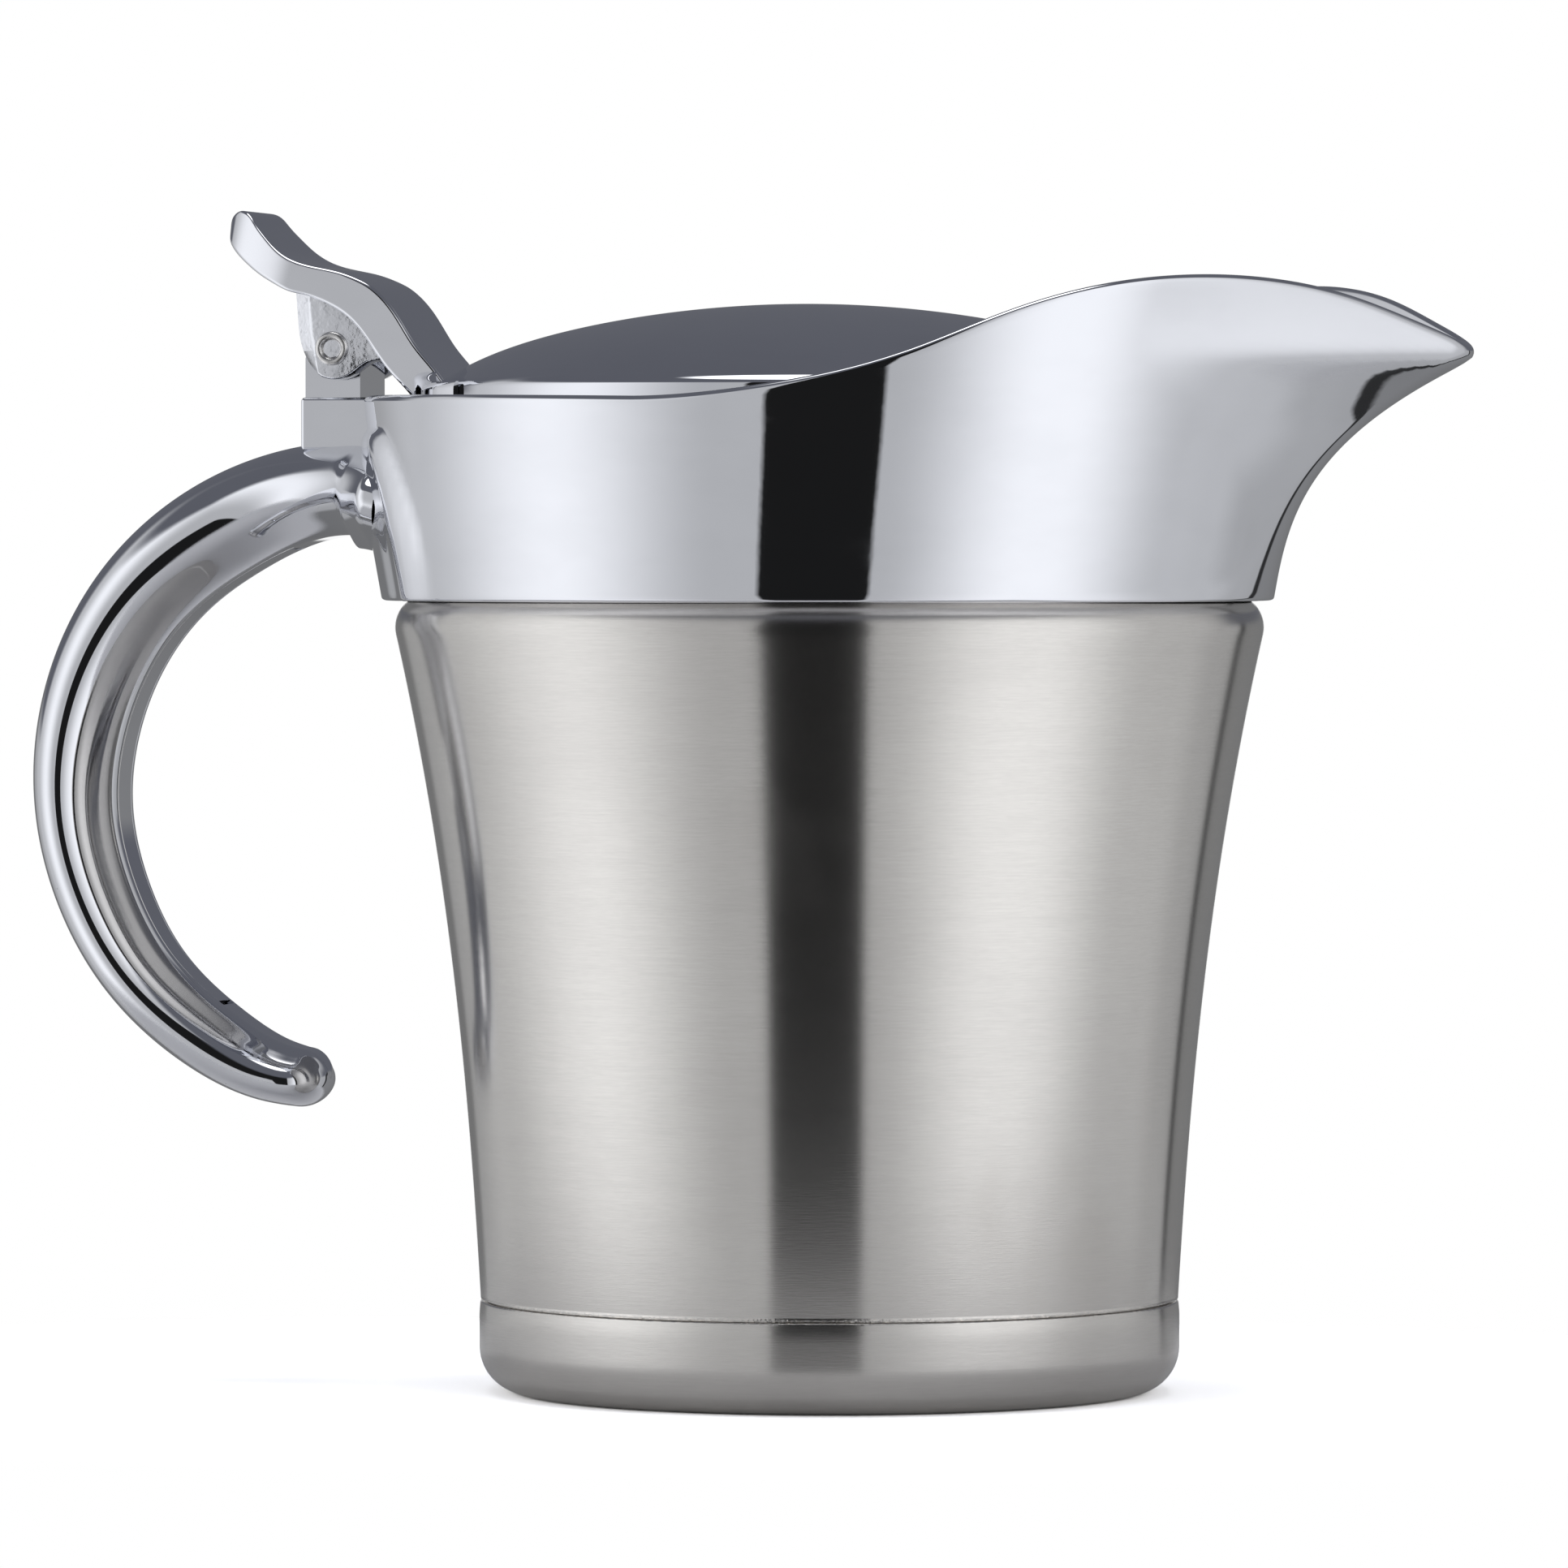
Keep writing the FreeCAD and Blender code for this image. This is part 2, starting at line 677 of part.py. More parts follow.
def hinge_post(outside, handle):
    front, crown, back = post_top()
    wire = path(
        at(POST_BACK_X, RIM_BACK_Z - BLOCK_LAP),
        at(POST_BACK_X, back.z - POST_ROUND / 2),
        back,
        ("arc", crown, front),
        at(POST_FRONT_X, RIM_BACK_Z - BLOCK_LAP),
    )
    tower = extrude_y(wire, -POST_HALF, POST_HALF)
    post = tower.fuse(post_block()).cut(outside).cut(handle)
    return one(post.cut(pin_cylinder(PIN_R + PIN_PLAY)))


def pin_cylinder(radius):
    length = 2 * LEVER_HALF + 4
    return Part.makeCylinder(radius, length, Vector(PIN_X, -length / 2, PIN_Z), Vector(0, 1, 0))


def hinge_pin():
    """A tubular rivet: rolled ring and socket on the near side, low domed head on the far side."""
    outer = POST_HALF + EAR_PLAY + EAR_T
    shank = Part.makeCylinder(PIN_R - 0.01, 2 * outer, Vector(PIN_X, -outer, PIN_Z), Vector(0, 1, 0))
    end = Vector(PIN_X, -outer - PIN_RING_T, PIN_Z)
    rolled = Part.makeCylinder(PIN_RING_R, PIN_RING_T, end, Vector(0, 1, 0))
    socket = Part.makeCone(PIN_R * 0.63, PIN_R * 0.3, 4 * PIN_RING_T, end, Vector(0, 1, 0))
    dome_r = 2 * PIN_HEAD_R
    dome = Part.makeSphere(dome_r, Vector(PIN_X, outer + PIN_HEAD_T - dome_r, PIN_Z))
    head = Part.makeCylinder(PIN_HEAD_R, PIN_HEAD_T, Vector(PIN_X, outer, PIN_Z), Vector(0, 1, 0))
    head = head.common(dome)
    return one(shank.fuse(rolled).fuse(head).cut(socket))


def from_pin(back, up, y=0.0):
    """Behind and above the pin, as shares of the lever's rise."""
    return at(PIN_X - back * LEVER_RISE, PIN_Z + up * LEVER_RISE, y)


def near_lid(ahead, down):
    """Ahead of the pin and below the lid's edge, as shares of the lever's rise."""
    return at(PIN_X + ahead * LEVER_RISE, LID_EDGE_Z - down * LEVER_RISE)


def lever_side():
    """Side view of the lever's bar, from the thumb tip down to the lid and back underneath."""
    top = [
        from_pin(0.721, 1.000),
        from_pin(0.656, 0.980),
        from_pin(0.593, 0.905),
        from_pin(0.518, 0.816),
        from_pin(0.420, 0.718),
        from_pin(0.328, 0.656),
        from_pin(0.210, 0.610),
        from_pin(-0.066, 0.548),
        from_pin(-0.275, 0.459),
        from_pin(-0.466, 0.272),
        from_pin(-0.630, 0.020),
        from_pin(-0.767, -0.144),
        near_lid(0.939, 0.144),
    ]
    bottom = [
        near_lid(0.747, 0.315),
        from_pin(-0.547, -0.295),
        from_pin(-0.407, -0.144),
        from_pin(-0.256, 0.062),
        from_pin(-0.105, 0.240),
        from_pin(0.079, 0.341),
        from_pin(0.213, 0.387),
        from_pin(0.321, 0.413),
        from_pin(0.426, 0.462),
        from_pin(0.538, 0.525),
        from_pin(0.669, 0.620),
        from_pin(0.793, 0.734),
    ]
    return Part.Wire([
        curve(top),
        line(top[-1], bottom[0]),
        curve(bottom),
        arc(bottom[-1], from_pin(0.849, 0.872), top[0]),
    ])


# Half width of the thumb end, from its straight sides to near its tip: how far behind the pin, and the
# half width, as shares of the lever's rise and of its own half width.
THUMB_PLAN = [(0.487, 0.922), (0.649, 0.789), (0.773, 0.611), (0.838, 0.333)]


def lever_bar():
    bar = extrude_y(lever_side(), -LEVER_HALF, LEVER_HALF)
    near = [from_pin(back, 0, -share * LEVER_HALF) for back, share in THUMB_PLAN]
    far = [from_pin(back, 0, share * LEVER_HALF) for back, share in THUMB_PLAN[::-1]]
    plan = path(
        from_pin(-1.0, 0, -LEVER_HALF),
        from_pin(0.292, 0, -LEVER_HALF),
        ("curve", near + [from_pin(0.857, 0)] + far + [from_pin(0.292, 0, LEVER_HALF)]),
        from_pin(-1.0, 0, LEVER_HALF),
    )
    column = Part.Face(plan)
    column.translate(Vector(0, 0, -CLEAR))
    return bar.common(column.extrude(Vector(0, 0, 2 * CLEAR)))


def ears():
    wire = path(
        from_pin(0.286, 0.416),
        from_pin(0.273, 0.208),
        from_pin(0.247, 0.032),
        ("curve", [
            from_pin(0.188, -0.097),
            from_pin(0.104, -0.188),
            from_pin(-0.013, -0.221),
            from_pin(-0.143, -0.182),
            from_pin(-0.253, -0.104),
        ]),
        from_pin(-0.403, -0.097),
        from_pin(-0.532, -0.078),
        from_pin(-0.338, 0.273),
        from_pin(-0.084, 0.455),
    )
    near = POST_HALF + EAR_PLAY
    return extrude_y(wire, -near - EAR_T, -near), extrude_y(wire, near, near + EAR_T)


def lid_solid(inset=0.0):
    radius, top, edge = LID_R - inset, LID_TOP_Z - inset, LID_EDGE_Z - inset
    wire = path(
        at(LID_X, LID_FOOT_Z),
        at(LID_X + radius, LID_FOOT_Z),
        at(LID_X + radius, edge - LID_BREAK),
        at(LID_X + radius - LID_BREAK, edge),
        ("curve", lid_dome_points(radius - LID_BREAK, edge, top)),
    )
    return spin(wire, LID_X)


def lid_dome_points(radius, edge, top):
    """A shallow dome whose edge is rounded more tightly than its crown."""
    points = []
    count = 10
    for i in range(1, count + 1):
        share = 1 - i / count
        fall = (1 - LID_ROUND) * share ** 2 + LID_ROUND * share ** 8
        points.append(at(LID_X + radius * share, top - (top - edge) * fall))
    return points


def lid_dome():
    shell = lid_solid()
    hollow = lid_solid(LID_WALL)
    opening = Part.makeCylinder(LID_R - LID_WALL, 1.0, Vector(LID_X, 0, LID_FOOT_Z - 0.5))
    shell = shell.cut(hollow).cut(opening)
    for base, way in lever_screw_axes():
        shell = shell.cut(bore(base, way, SMALL_SCREW_R, SMALL_SCREW_LENGTH))
    return one(shell)


def lever_foot():
    """The band that wraps the lid's skirt at the lever's end."""
    inner = LID_R + FOOT_GAP
    low = LID_FOOT_Z + FOOT_LIFT
    high = LID_EDGE_Z - FOOT_LIFT / 2
    wire = path(
        at(LID_X + inner, low),
        at(LID_X + inner + FOOT_T * 0.6, low),
        at(LID_X + inner + FOOT_T, low + FOOT_T * 0.6),
        at(LID_X + inner + FOOT_T, high - FOOT_T * 0.6),
        at(LID_X + inner + FOOT_T * 0.4, high),
        at(LID_X + inner, high),
    )
    foot = spin(wire, LID_X, 2 * FOOT_ANGLE)
    foot.rotate(Vector(LID_X, 0, 0), Vector(0, 0, 1), 180 - FOOT_ANGLE)
    return foot


def thumb_lever():
    low = LID_FOOT_Z + FOOT_LIFT
    wide = 4 * LEVER_HALF
    under = Part.makeBox(wide, wide, CLEAR, at(PIN_X, low - CLEAR, -wide / 2))
    near, far = ears()
    lever = lever_bar().cut(under).fuse([lever_foot(), near, far])
    around = Part.makeCylinder(LID_R + FOOT_GAP, CLEAR, at(LID_X, LID_EDGE_Z - LID_BREAK - CLEAR))
    lever = lever.cut(lid_solid(-FOOT_GAP)).cut(around).cut(pin_cylinder(PIN_R))
    for base, way in lever_screw_axes():
        lever = lever.cut(bore(base, way, SMALL_SCREW_R, SMALL_SCREW_LENGTH))
    return one(lever)


def lever_screw_axes():
    """Two screws through the skirt into the lever's foot: each head's seat and the way it points."""
    axes = []
    inside = LID_R - LID_WALL - SMALL_HEAD_R ** 2 / LID_R
    for side in (-1, 1):
        angle = math.radians(180 + side * SMALL_SCREW_ANGLE)
        out = Vector(math.cos(angle), math.sin(angle), 0)
        axes.append((at(LID_X, LID_FOOT_Z + SMALL_SCREW_RISE) + out * inside, out * -1))
    return axes


def bore(base, way, radius, length):
    return Part.makeCylinder(radius, length, base - way * length, way)


def screw(base, way, radius, head_r, length):
    """Head's seat at base, head on the way side, shank the other way, crossed slots in the head."""
    body = bore(base, way, radius - SCREW_PLAY, length)
    body = body.fuse(Part.makeCylinder(head_r, SCREW_HEAD_T, base, way))
    reach = head_r * 0.6
    corner = Vector(-reach, -SCREW_SLOT / 2, SCREW_HEAD_T / 2)
    slot = Part.makeBox(2 * reach, SCREW_SLOT, SCREW_HEAD_T, corner)
    for angle in (0, 90):
        cutter = slot.copy()
        cutter.rotate(Vector(0, 0, 0), Vector(0, 0, 1), angle)
        cutter.Placement = FreeCAD.Placement(base, FreeCAD.Rotation(Vector(0, 0, 1), way)) * cutter.Placement
        body = body.cut(cutter)
    return one(body)


def lever_screws():
    return [screw(base, way, SMALL_SCREW_R, SMALL_HEAD_R, SMALL_SCREW_LENGTH)
            for base, way in lever_screw_axes()]


# Lid's inside

def lid_liner():
    """Plastic floor of the lid with the plug that enters the mouth."""
    flange_z = DECK_Z + DECK_T + LID_SEAL_LIFT + SEAL_T
    flange_r = LID_R - LID_WALL - 0.1
    wire = path(
        at(LID_X, PLUG_Z),
        at(LID_X + PLUG_R - PLUG_TAPER - 1.0, PLUG_Z),
        at(LID_X + PLUG_R - PLUG_TAPER, PLUG_Z + 1.0),
        at(LID_X + PLUG_R, DECK_Z + DECK_T * 0.75),
        at(LID_X + PLUG_R, flange_z),
        at(LID_X + flange_r, flange_z),
        at(LID_X + flange_r, flange_z + FLANGE_T),
        at(LID_X + PLUG_R - LINER_T, flange_z + FLANGE_T),
        at(LID_X + PLUG_R - LINER_T - PLUG_TAPER, PLUG_Z + LINER_T),
        at(LID_X, PLUG_Z + LINER_T),
    )
    return spin(wire, LID_X)


def lid_seal():
    low = DECK_Z + DECK_T + LID_SEAL_LIFT
    return ring(PLUG_R + 0.02, LID_R - LID_WALL - 0.2, low, low + SEAL_T, LID_X)


def lid_foam():
    low = PLUG_Z + LINER_T + 0.1
    radius = PLUG_R - LINER_T - PLUG_TAPER - 0.6
    edge = LID_EDGE_Z - LID_WALL - FOAM_GAP
    wire = path(
        at(LID_X, low),
        at(LID_X + radius, low),
        at(LID_X + radius, edge),
        ("curve", lid_dome_points(radius, edge, LID_TOP_Z - LID_WALL - FOAM_GAP)),
    )
    return spin(wire, LID_X)


def wall_screw_axes(z, aside, sink):
    """A pair of screws from inside the collar's back, their heads sunk into its wall."""
    inner = BACK_R + BACK_LEAN * (z - COLLAR_Z) - COLLAR_WALL
    seat = -math.sqrt(inner ** 2 - aside ** 2) - sink
    return [(at(seat, z, y), Vector(1, 0, 0)) for y in (-aside, aside)]


def handle_screw_axes():
    return wall_screw_axes(PAD_TOP_Z - HANDLE_SCREW_DROP, HANDLE_SCREW_SIDE, -HANDLE_SEAT)


def post_screw_axes():
    return wall_screw_axes(RIM_BACK_Z - POST_SCREW_DROP, POST_SCREW_SIDE, POST_SEAT)


def screws(axes, head_r, length):
    return [screw(base, way, SCREW_R, head_r, length) for base, way in axes]


def screwed(wall, piece, axes, length, head_r):
    """The wall and the piece behind it, bored for the screws that join them."""
    for base, way in axes:
        hole = bore(base, way, SCREW_R, length)
        seat = Part.makeCylinder(head_r + SEAT_PLAY, SEAT_T, base, way)
        wall = wall.cut(hole).cut(seat)
        piece = piece.cut(hole)
    return one(wall), one(piece)


def main():
    os.makedirs("parts", exist_ok=True)
    outside = collar_outside()
    handle, cover = handle_pieces(outside)
    post = hinge_post(outside, handle)
    wall = collar(outside)
    handle_axes = handle_screw_axes()
    post_axes = post_screw_axes()
    wall, handle = screwed(wall, handle, handle_axes, HANDLE_SCREW_LENGTH, SCREW_HEAD_R)
    wall, post = screwed(wall, post, post_axes, POST_SCREW_LENGTH, POST_HEAD_R)
    save("outer_shell", outer_shell())
    save("base_cup", base_cup())
    save("inner_vessel", inner_vessel())
    save("neck_seal", neck_seal())
    save("clamp_ring", clamp_ring())
    save("collar", wall)
    save("handle_shell", handle)
    save("handle_cover", cover)
    save("handle_screws", *screws(handle_axes, SCREW_HEAD_R, HANDLE_SCREW_LENGTH))
    save("hinge_post", post)
    save("post_screws", *screws(post_axes, POST_HEAD_R, POST_SCREW_LENGTH))
    save("hinge_pin", hinge_pin())
    save("thumb_lever", thumb_lever())
    save("lever_screws", *lever_screws())
    save("lid_dome", lid_dome())
    save("lid_liner", lid_liner())
    save("lid_seal", lid_seal())
    save("lid_foam", lid_foam())


main()
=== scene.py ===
import json
import math

import bmesh
import bpy
import numpy as np
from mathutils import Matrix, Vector


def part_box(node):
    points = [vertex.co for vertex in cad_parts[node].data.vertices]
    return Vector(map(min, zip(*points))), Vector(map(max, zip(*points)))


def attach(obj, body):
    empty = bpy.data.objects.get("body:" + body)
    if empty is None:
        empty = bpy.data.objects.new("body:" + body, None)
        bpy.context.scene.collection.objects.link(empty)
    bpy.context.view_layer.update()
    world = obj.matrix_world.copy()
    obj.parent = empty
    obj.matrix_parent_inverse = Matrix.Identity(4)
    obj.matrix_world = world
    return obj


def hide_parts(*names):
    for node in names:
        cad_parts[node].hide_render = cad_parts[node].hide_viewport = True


# Insulated sauce jug with a chrome collar, hook handle and hinged lid.
# Shapes are worked out in millimetres in the jug's own frame, and become metres in the mesh.

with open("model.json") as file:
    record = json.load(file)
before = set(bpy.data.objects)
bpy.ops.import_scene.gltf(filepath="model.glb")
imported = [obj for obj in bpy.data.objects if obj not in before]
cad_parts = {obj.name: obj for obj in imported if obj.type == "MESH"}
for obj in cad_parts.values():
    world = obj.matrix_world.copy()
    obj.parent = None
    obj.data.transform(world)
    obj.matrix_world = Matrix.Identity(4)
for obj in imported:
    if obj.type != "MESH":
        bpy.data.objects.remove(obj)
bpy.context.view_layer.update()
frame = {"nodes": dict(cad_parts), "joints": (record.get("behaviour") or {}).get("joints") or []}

MM = 0.001


def box_mm(node):
    """Lowest and highest corner of a CAD node, in millimetres."""
    low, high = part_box(node)
    return Vector(low) / MM, Vector(high) / MM


# Sizes and places that the frame gives
SHELL_LOW, SHELL_HIGH = box_mm("outer_shell")
CUP_LOW, CUP_HIGH = box_mm("base_cup")
COLLAR_LOW, COLLAR_HIGH = box_mm("collar")
LID_LOW, LID_HIGH = box_mm("lid_dome")
POST_LOW, POST_HIGH = box_mm("hinge_post")
HINGE = next(joint for joint in frame["joints"] if joint["name"] == "lid_hinge")
PIN = Vector(HINGE["pos_m"]) / MM

# Steel body
BASE_R = 38.05
BASE_BULGE = 0.15
BASE_CORNER = 5.0
BASE_LIP = 0.35             # rounding of the base cup's top edge
GROOVE_R = 25.0
GROOVE_DEPTH = 0.35
SEAM_Z = SHELL_LOW.z - 0.1
SHOULDER_Z = 82.6
SHOULDER_ROUND = 3.6
TAPER = 4.2
FLARE = 5.0
FLARE_POWER = 2.4
SHELL_WALL = 0.6
NECK_TOP = SHELL_HIGH.z
SHOULDER_R = BASE_R + TAPER + FLARE
SHOULDER_LEAN = math.atan((TAPER + FLARE * FLARE_POWER) / (SHOULDER_Z - SEAM_Z))
SHOULDER_TOP = SHOULDER_Z + SHOULDER_ROUND * (1 + math.sin(SHOULDER_LEAN))
NECK_R = SHOULDER_R - 4.05

# Collar and spout
COLLAR_Z = COLLAR_LOW.z
COLLAR_R = SHOULDER_R + 0.9
SIDE_LEAN = 0.18
BACK_R = COLLAR_R + 0.15
BACK_LEAN = 0.11
KEEL_X = COLLAR_R + 0.3
KEEL_LEAN = 0.22
KEEL_FLARE = 18.8
KEEL_REACH = COLLAR_R + 23.25
TIP_RISE = 27.0
NOSE_R = 6.5
NOSE_ROUND = 41.0
NOSE_RISE = 20.0
NOSE_POWER = 1.6
COLLAR_WALL = 2.2
RIM_BACK = COLLAR_Z + 21.7
RIM_RISE = 12.9
RIM_TIP_RISE = 4.9
RIM_PEAK_X = KEEL_REACH - 23.4
RIM_ROUND = 0.8
RIM_SLOPE = 0.0145          # rise of the rim behind its wave, for each millimetre back
EDGE_ROUND = 0.35           # collar's bottom edge
DECK_TOP = LID_LOW.z - 0.5
DECK_T = 2.0
MOUTH_R = 38.3
LID_X = (LID_LOW.x + LID_HIGH.x) / 2

# Pad on the collar's back
PAD_LOW_T = 0.5             # how far it stands out at the bottom edge and higher up
PAD_T = 1.0
PAD_RIDGE = 0.75            # and how far the ridge along its edge stands out past that
PAD_H = 18.4
PAD_LOW_ANGLE = 40.0
PAD_TOP_ANGLE = 30.4
PAD_ARCH = 2.5
PAD_EDGE = 7
PAD_FADE = 6.0

# Handle
PAD_TOP = COLLAR_Z + 17.9
HANDLE_HALF = 10.0
HANDLE_DEPTH = 11.3
HANDLE_FLAT = 3.3
SIDE_DEPTH = 0.43           # where the handle is widest, as a share of its depth
HANDLE_END_R = 3.25
END_WIDTH = 0.73
END_ROUND = 4.5             # length over which the end is rounded in plan
ROOT_FLARE = 28.0           # radius with which the handle widens into the collar, seen from above
ROOT_UNDER = 1.4            # and seen from the side
ROOT_START = -69.0          # where it starts to widen
ROOT_REACH = 23.0           # and how far on it stops, inside the pad
ROOT_INSIDE = 3.0           # length of the ridge drawn on inside the collar
COVER_HALF = 2.5
COVER_DEEP = 1.1
COVER_GAP = 0.05

# Hinge, lever and lid
EAR_NEAR = 5.45
EAR_T = 3.2
LEVER_HALF = 9.0
LEVER_ROUND = 0.45
POST_HALF = 5.25
POST_ROUND = 3.3
BLOCK_HALF = 7.5
LID_R = (LID_HIGH.x - LID_LOW.x) / 2
LID_EDGE = LID_LOW.z + 6.6
LID_ROUND = 0.2             # share of the dome's fall that its rounded edge takes
LID_TOP = LID_HIGH.z
LID_WALL = 1.2
FOOT_T = 1.7
FOOT_ANGLE = 34.5

# Camera, worked out from the photograph: 1932 pixels a side
PHOTO_SIDE = 1932
PHOTO_SCALE = 0.0885        # millimetres for a pixel in the plane of the body's axis
AXIS_PIXEL = (1022, 665)    # where the body's axis and the camera's own height stand
CAMERA_REACH = 1186.0
CAMERA_Z = 92.9
CAMERA_YAW = 12.5           # degrees from the near side towards the spout
SENSOR = 36.0


# Curves

def spline(points, count, start=None, end=None):
    """Points evenly spread on a smooth curve through the given ones. Start and end may fix its directions."""
    p = np.array([tuple(q) for q in points], float)
    step = np.linalg.norm(np.diff(p, axis=0), axis=1)
    mark = np.concatenate([[0.0], np.cumsum(step)])
    n = len(p)
    rows = np.zeros((n, n))
    right = np.zeros_like(p)
    for i in range(1, n - 1):
        before, after = step[i - 1], step[i]
        rows[i, i - 1], rows[i, i], rows[i, i + 1] = before, 2 * (before + after), after
        right[i] = 6 * ((p[i + 1] - p[i]) / after - (p[i] - p[i - 1]) / before)
    for i, near, way in ((0, 1, start), (n - 1, n - 2, end)):
        rows[i, i] = 1.0
        if way is not None:
            gap = step[min(i, near)]
            way = np.array(way, float) / np.linalg.norm(way)
            chord = (p[max(i, near)] - p[min(i, near)]) / gap
            rows[i, i], rows[i, near] = 2 * gap, gap
            right[i] = 6 * (chord - way if i == 0 else way - chord)
    bend = np.linalg.solve(rows, right)
    fine = np.linspace(0, mark[-1], 40 * n)
    k = np.clip(np.searchsorted(mark, fine, side="right") - 1, 0, n - 2)
    h = step[k][:, None]
    a = (mark[k + 1] - fine)[:, None] / h
    b = 1 - a
    line = a * p[k] + b * p[k + 1] + ((a ** 3 - a) * bend[k] + (b ** 3 - b) * bend[k + 1]) * h * h / 6
    return resample(line, np.linspace(0, 1, count))


def resample(line, marks):
    """Points of a line at shares of its length."""
    length = np.concatenate([[0.0], np.cumsum(np.linalg.norm(np.diff(line, axis=0), axis=1))])
    wanted = np.asarray(marks) * length[-1]
    return np.stack([np.interp(wanted, length, line[:, i]) for i in range(line.shape[1])], axis=1)


def corner(before, tip, after, count=6):
    """A rounded corner between two points, drawn towards the tip as a quarter circle is."""
    t = np.linspace(0, 1, count)[:, None]
    w = math.sqrt(0.5)
    a, b, c = (1 - t) ** 2, 2 * w * t * (1 - t), t ** 2
    return (a * before + b * tip + c * after) / (a + b + c)


def arc_points(centre, radius, first, last, count):
    """Points on a circle in a flat (r, z) plane, angles in degrees."""
    turn = np.radians(np.linspace(first, last, count))
    return np.stack([centre[0] + radius * np.cos(turn), centre[1] + radius * np.sin(turn)], axis=1)


def straight(a, b, count):
    return np.linspace(a, b, count)


# Meshes

def grid_mesh(name, grid, around=True, along=False):
    """A smooth mesh through rows of points in millimetres. Around joins the columns' ends, along the rows' ends."""
    rows, columns = grid.shape[:2]
    bm = bmesh.new()
    verts = [bm.verts.new(point) for point in (grid.reshape(-1, 3) * MM)]
    for r in range(rows if along else rows - 1):
        low, high = r * columns, (r + 1) % rows * columns
        for c in range(columns if around else columns - 1):
            d = (c + 1) % columns
            bm.faces.new((verts[low + c], verts[low + d], verts[high + d], verts[high + c]))
    return closed_mesh(name, bm)


def closed_mesh(name, bm):
    bmesh.ops.remove_doubles(bm, verts=bm.verts, dist=2e-7)
    bmesh.ops.dissolve_degenerate(bm, edges=bm.edges, dist=2e-7)
    bmesh.ops.recalc_face_normals(bm, faces=bm.faces)
    mesh = bpy.data.meshes.new(name)
    bm.to_mesh(mesh)
    bm.free()
    return mesh


def lathe(name, profile, centre_x=0.0, segments=256, along=True):
    """A profile of (r, z) points turned about an upright axis."""
    turn = np.linspace(0, 2 * math.pi, segments, endpoint=False)
    r, z = profile[:, 0][:, None], profile[:, 1][:, None]
    grid = np.stack([centre_x + r * np.cos(turn), r * np.sin(turn), z + 0 * turn], axis=2)
    return grid_mesh(name, grid, around=True, along=along)


def capped(rings):
    """Rings of points, with a point at the middle of the first and the last."""
    first = np.repeat(rings[:1].mean(axis=1, keepdims=True), rings.shape[1], axis=1)
    last = np.repeat(rings[-1:].mean(axis=1, keepdims=True), rings.shape[1], axis=1)
    return np.concatenate([first, rings, last])


def plate(name, outline, low, high, edge, segments=3):
    """A flat plate: an (x, z) outline given its thickness along y, its edges rounded."""
    bm = bmesh.new()
    face = bm.faces.new([bm.verts.new((x * MM, low * MM, z * MM)) for x, z in outline])
    moved = bmesh.ops.extrude_face_region(bm, geom=[face])["geom"]
    verts = [part for part in moved if isinstance(part, bmesh.types.BMVert)]
    bmesh.ops.translate(bm, verts=verts, vec=(0, (high - low) * MM, 0))
    bmesh.ops.recalc_face_normals(bm, faces=bm.faces)
    sharp = [e for e in bm.edges if len(e.link_faces) == 2 and e.calc_face_angle() > math.radians(35)]
    bmesh.ops.bevel(bm, geom=sharp, offset=edge * MM, segments=segments, profile=0.5,
                    affect="EDGES", clamp_overlap=True)
    return closed_mesh(name, bm)


def joined(name, meshes):
    """One mesh of several, each keeping its own material index."""
    bm = bmesh.new()
    for index, mesh in meshes:
        first = len(bm.faces)
        bm.from_mesh(mesh)
        bm.faces.ensure_lookup_table()
        for face in bm.faces[first:]:
            face.material_index = index
    mesh = bpy.data.meshes.new(name)
    bm.to_mesh(mesh)
    bm.free()
    return mesh


def weighted(mesh, crease):
    """Normals in which large faces count for more, so that flat faces between rounded edges look flat."""
    normals = np.array([face.normal for face in mesh.polygons])
    areas = np.array([face.area for face in mesh.polygons])
    around = [[] for _ in mesh.vertices]
    for face in mesh.polygons:
        for vertex in face.vertices:
            around[vertex].append(face.index)
    limit = math.cos(math.radians(crease))
    wanted = []
    for face in mesh.polygons:
        own = normals[face.index]
        for vertex in face.vertices:
            near = [k for k in around[vertex] if normals[k] @ own > limit]
            total = (normals[near] * areas[near, None]).sum(axis=0)
            length = np.linalg.norm(total)
            wanted.append(tuple(total / length) if length > 1e-12 else tuple(own))
    mesh.normals_split_custom_set(wanted)


def piece(name, mesh, materials, body, nodes, crease=40.0, bevelled=False):
    """Puts a mesh in the scene as a piece that stands for CAD nodes."""
    mesh.polygons.foreach_set("use_smooth", [True] * len(mesh.polygons))
    mesh.set_sharp_from_angle(angle=math.radians(crease))
    if bevelled:
        weighted(mesh, crease)
    for material in materials:
        mesh.materials.append(material)
    made = bpy.data.objects.new(name, mesh)
    bpy.context.collection.objects.link(made)
    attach(made, body)
    if nodes:
        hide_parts(*nodes)
    return made


# Materials

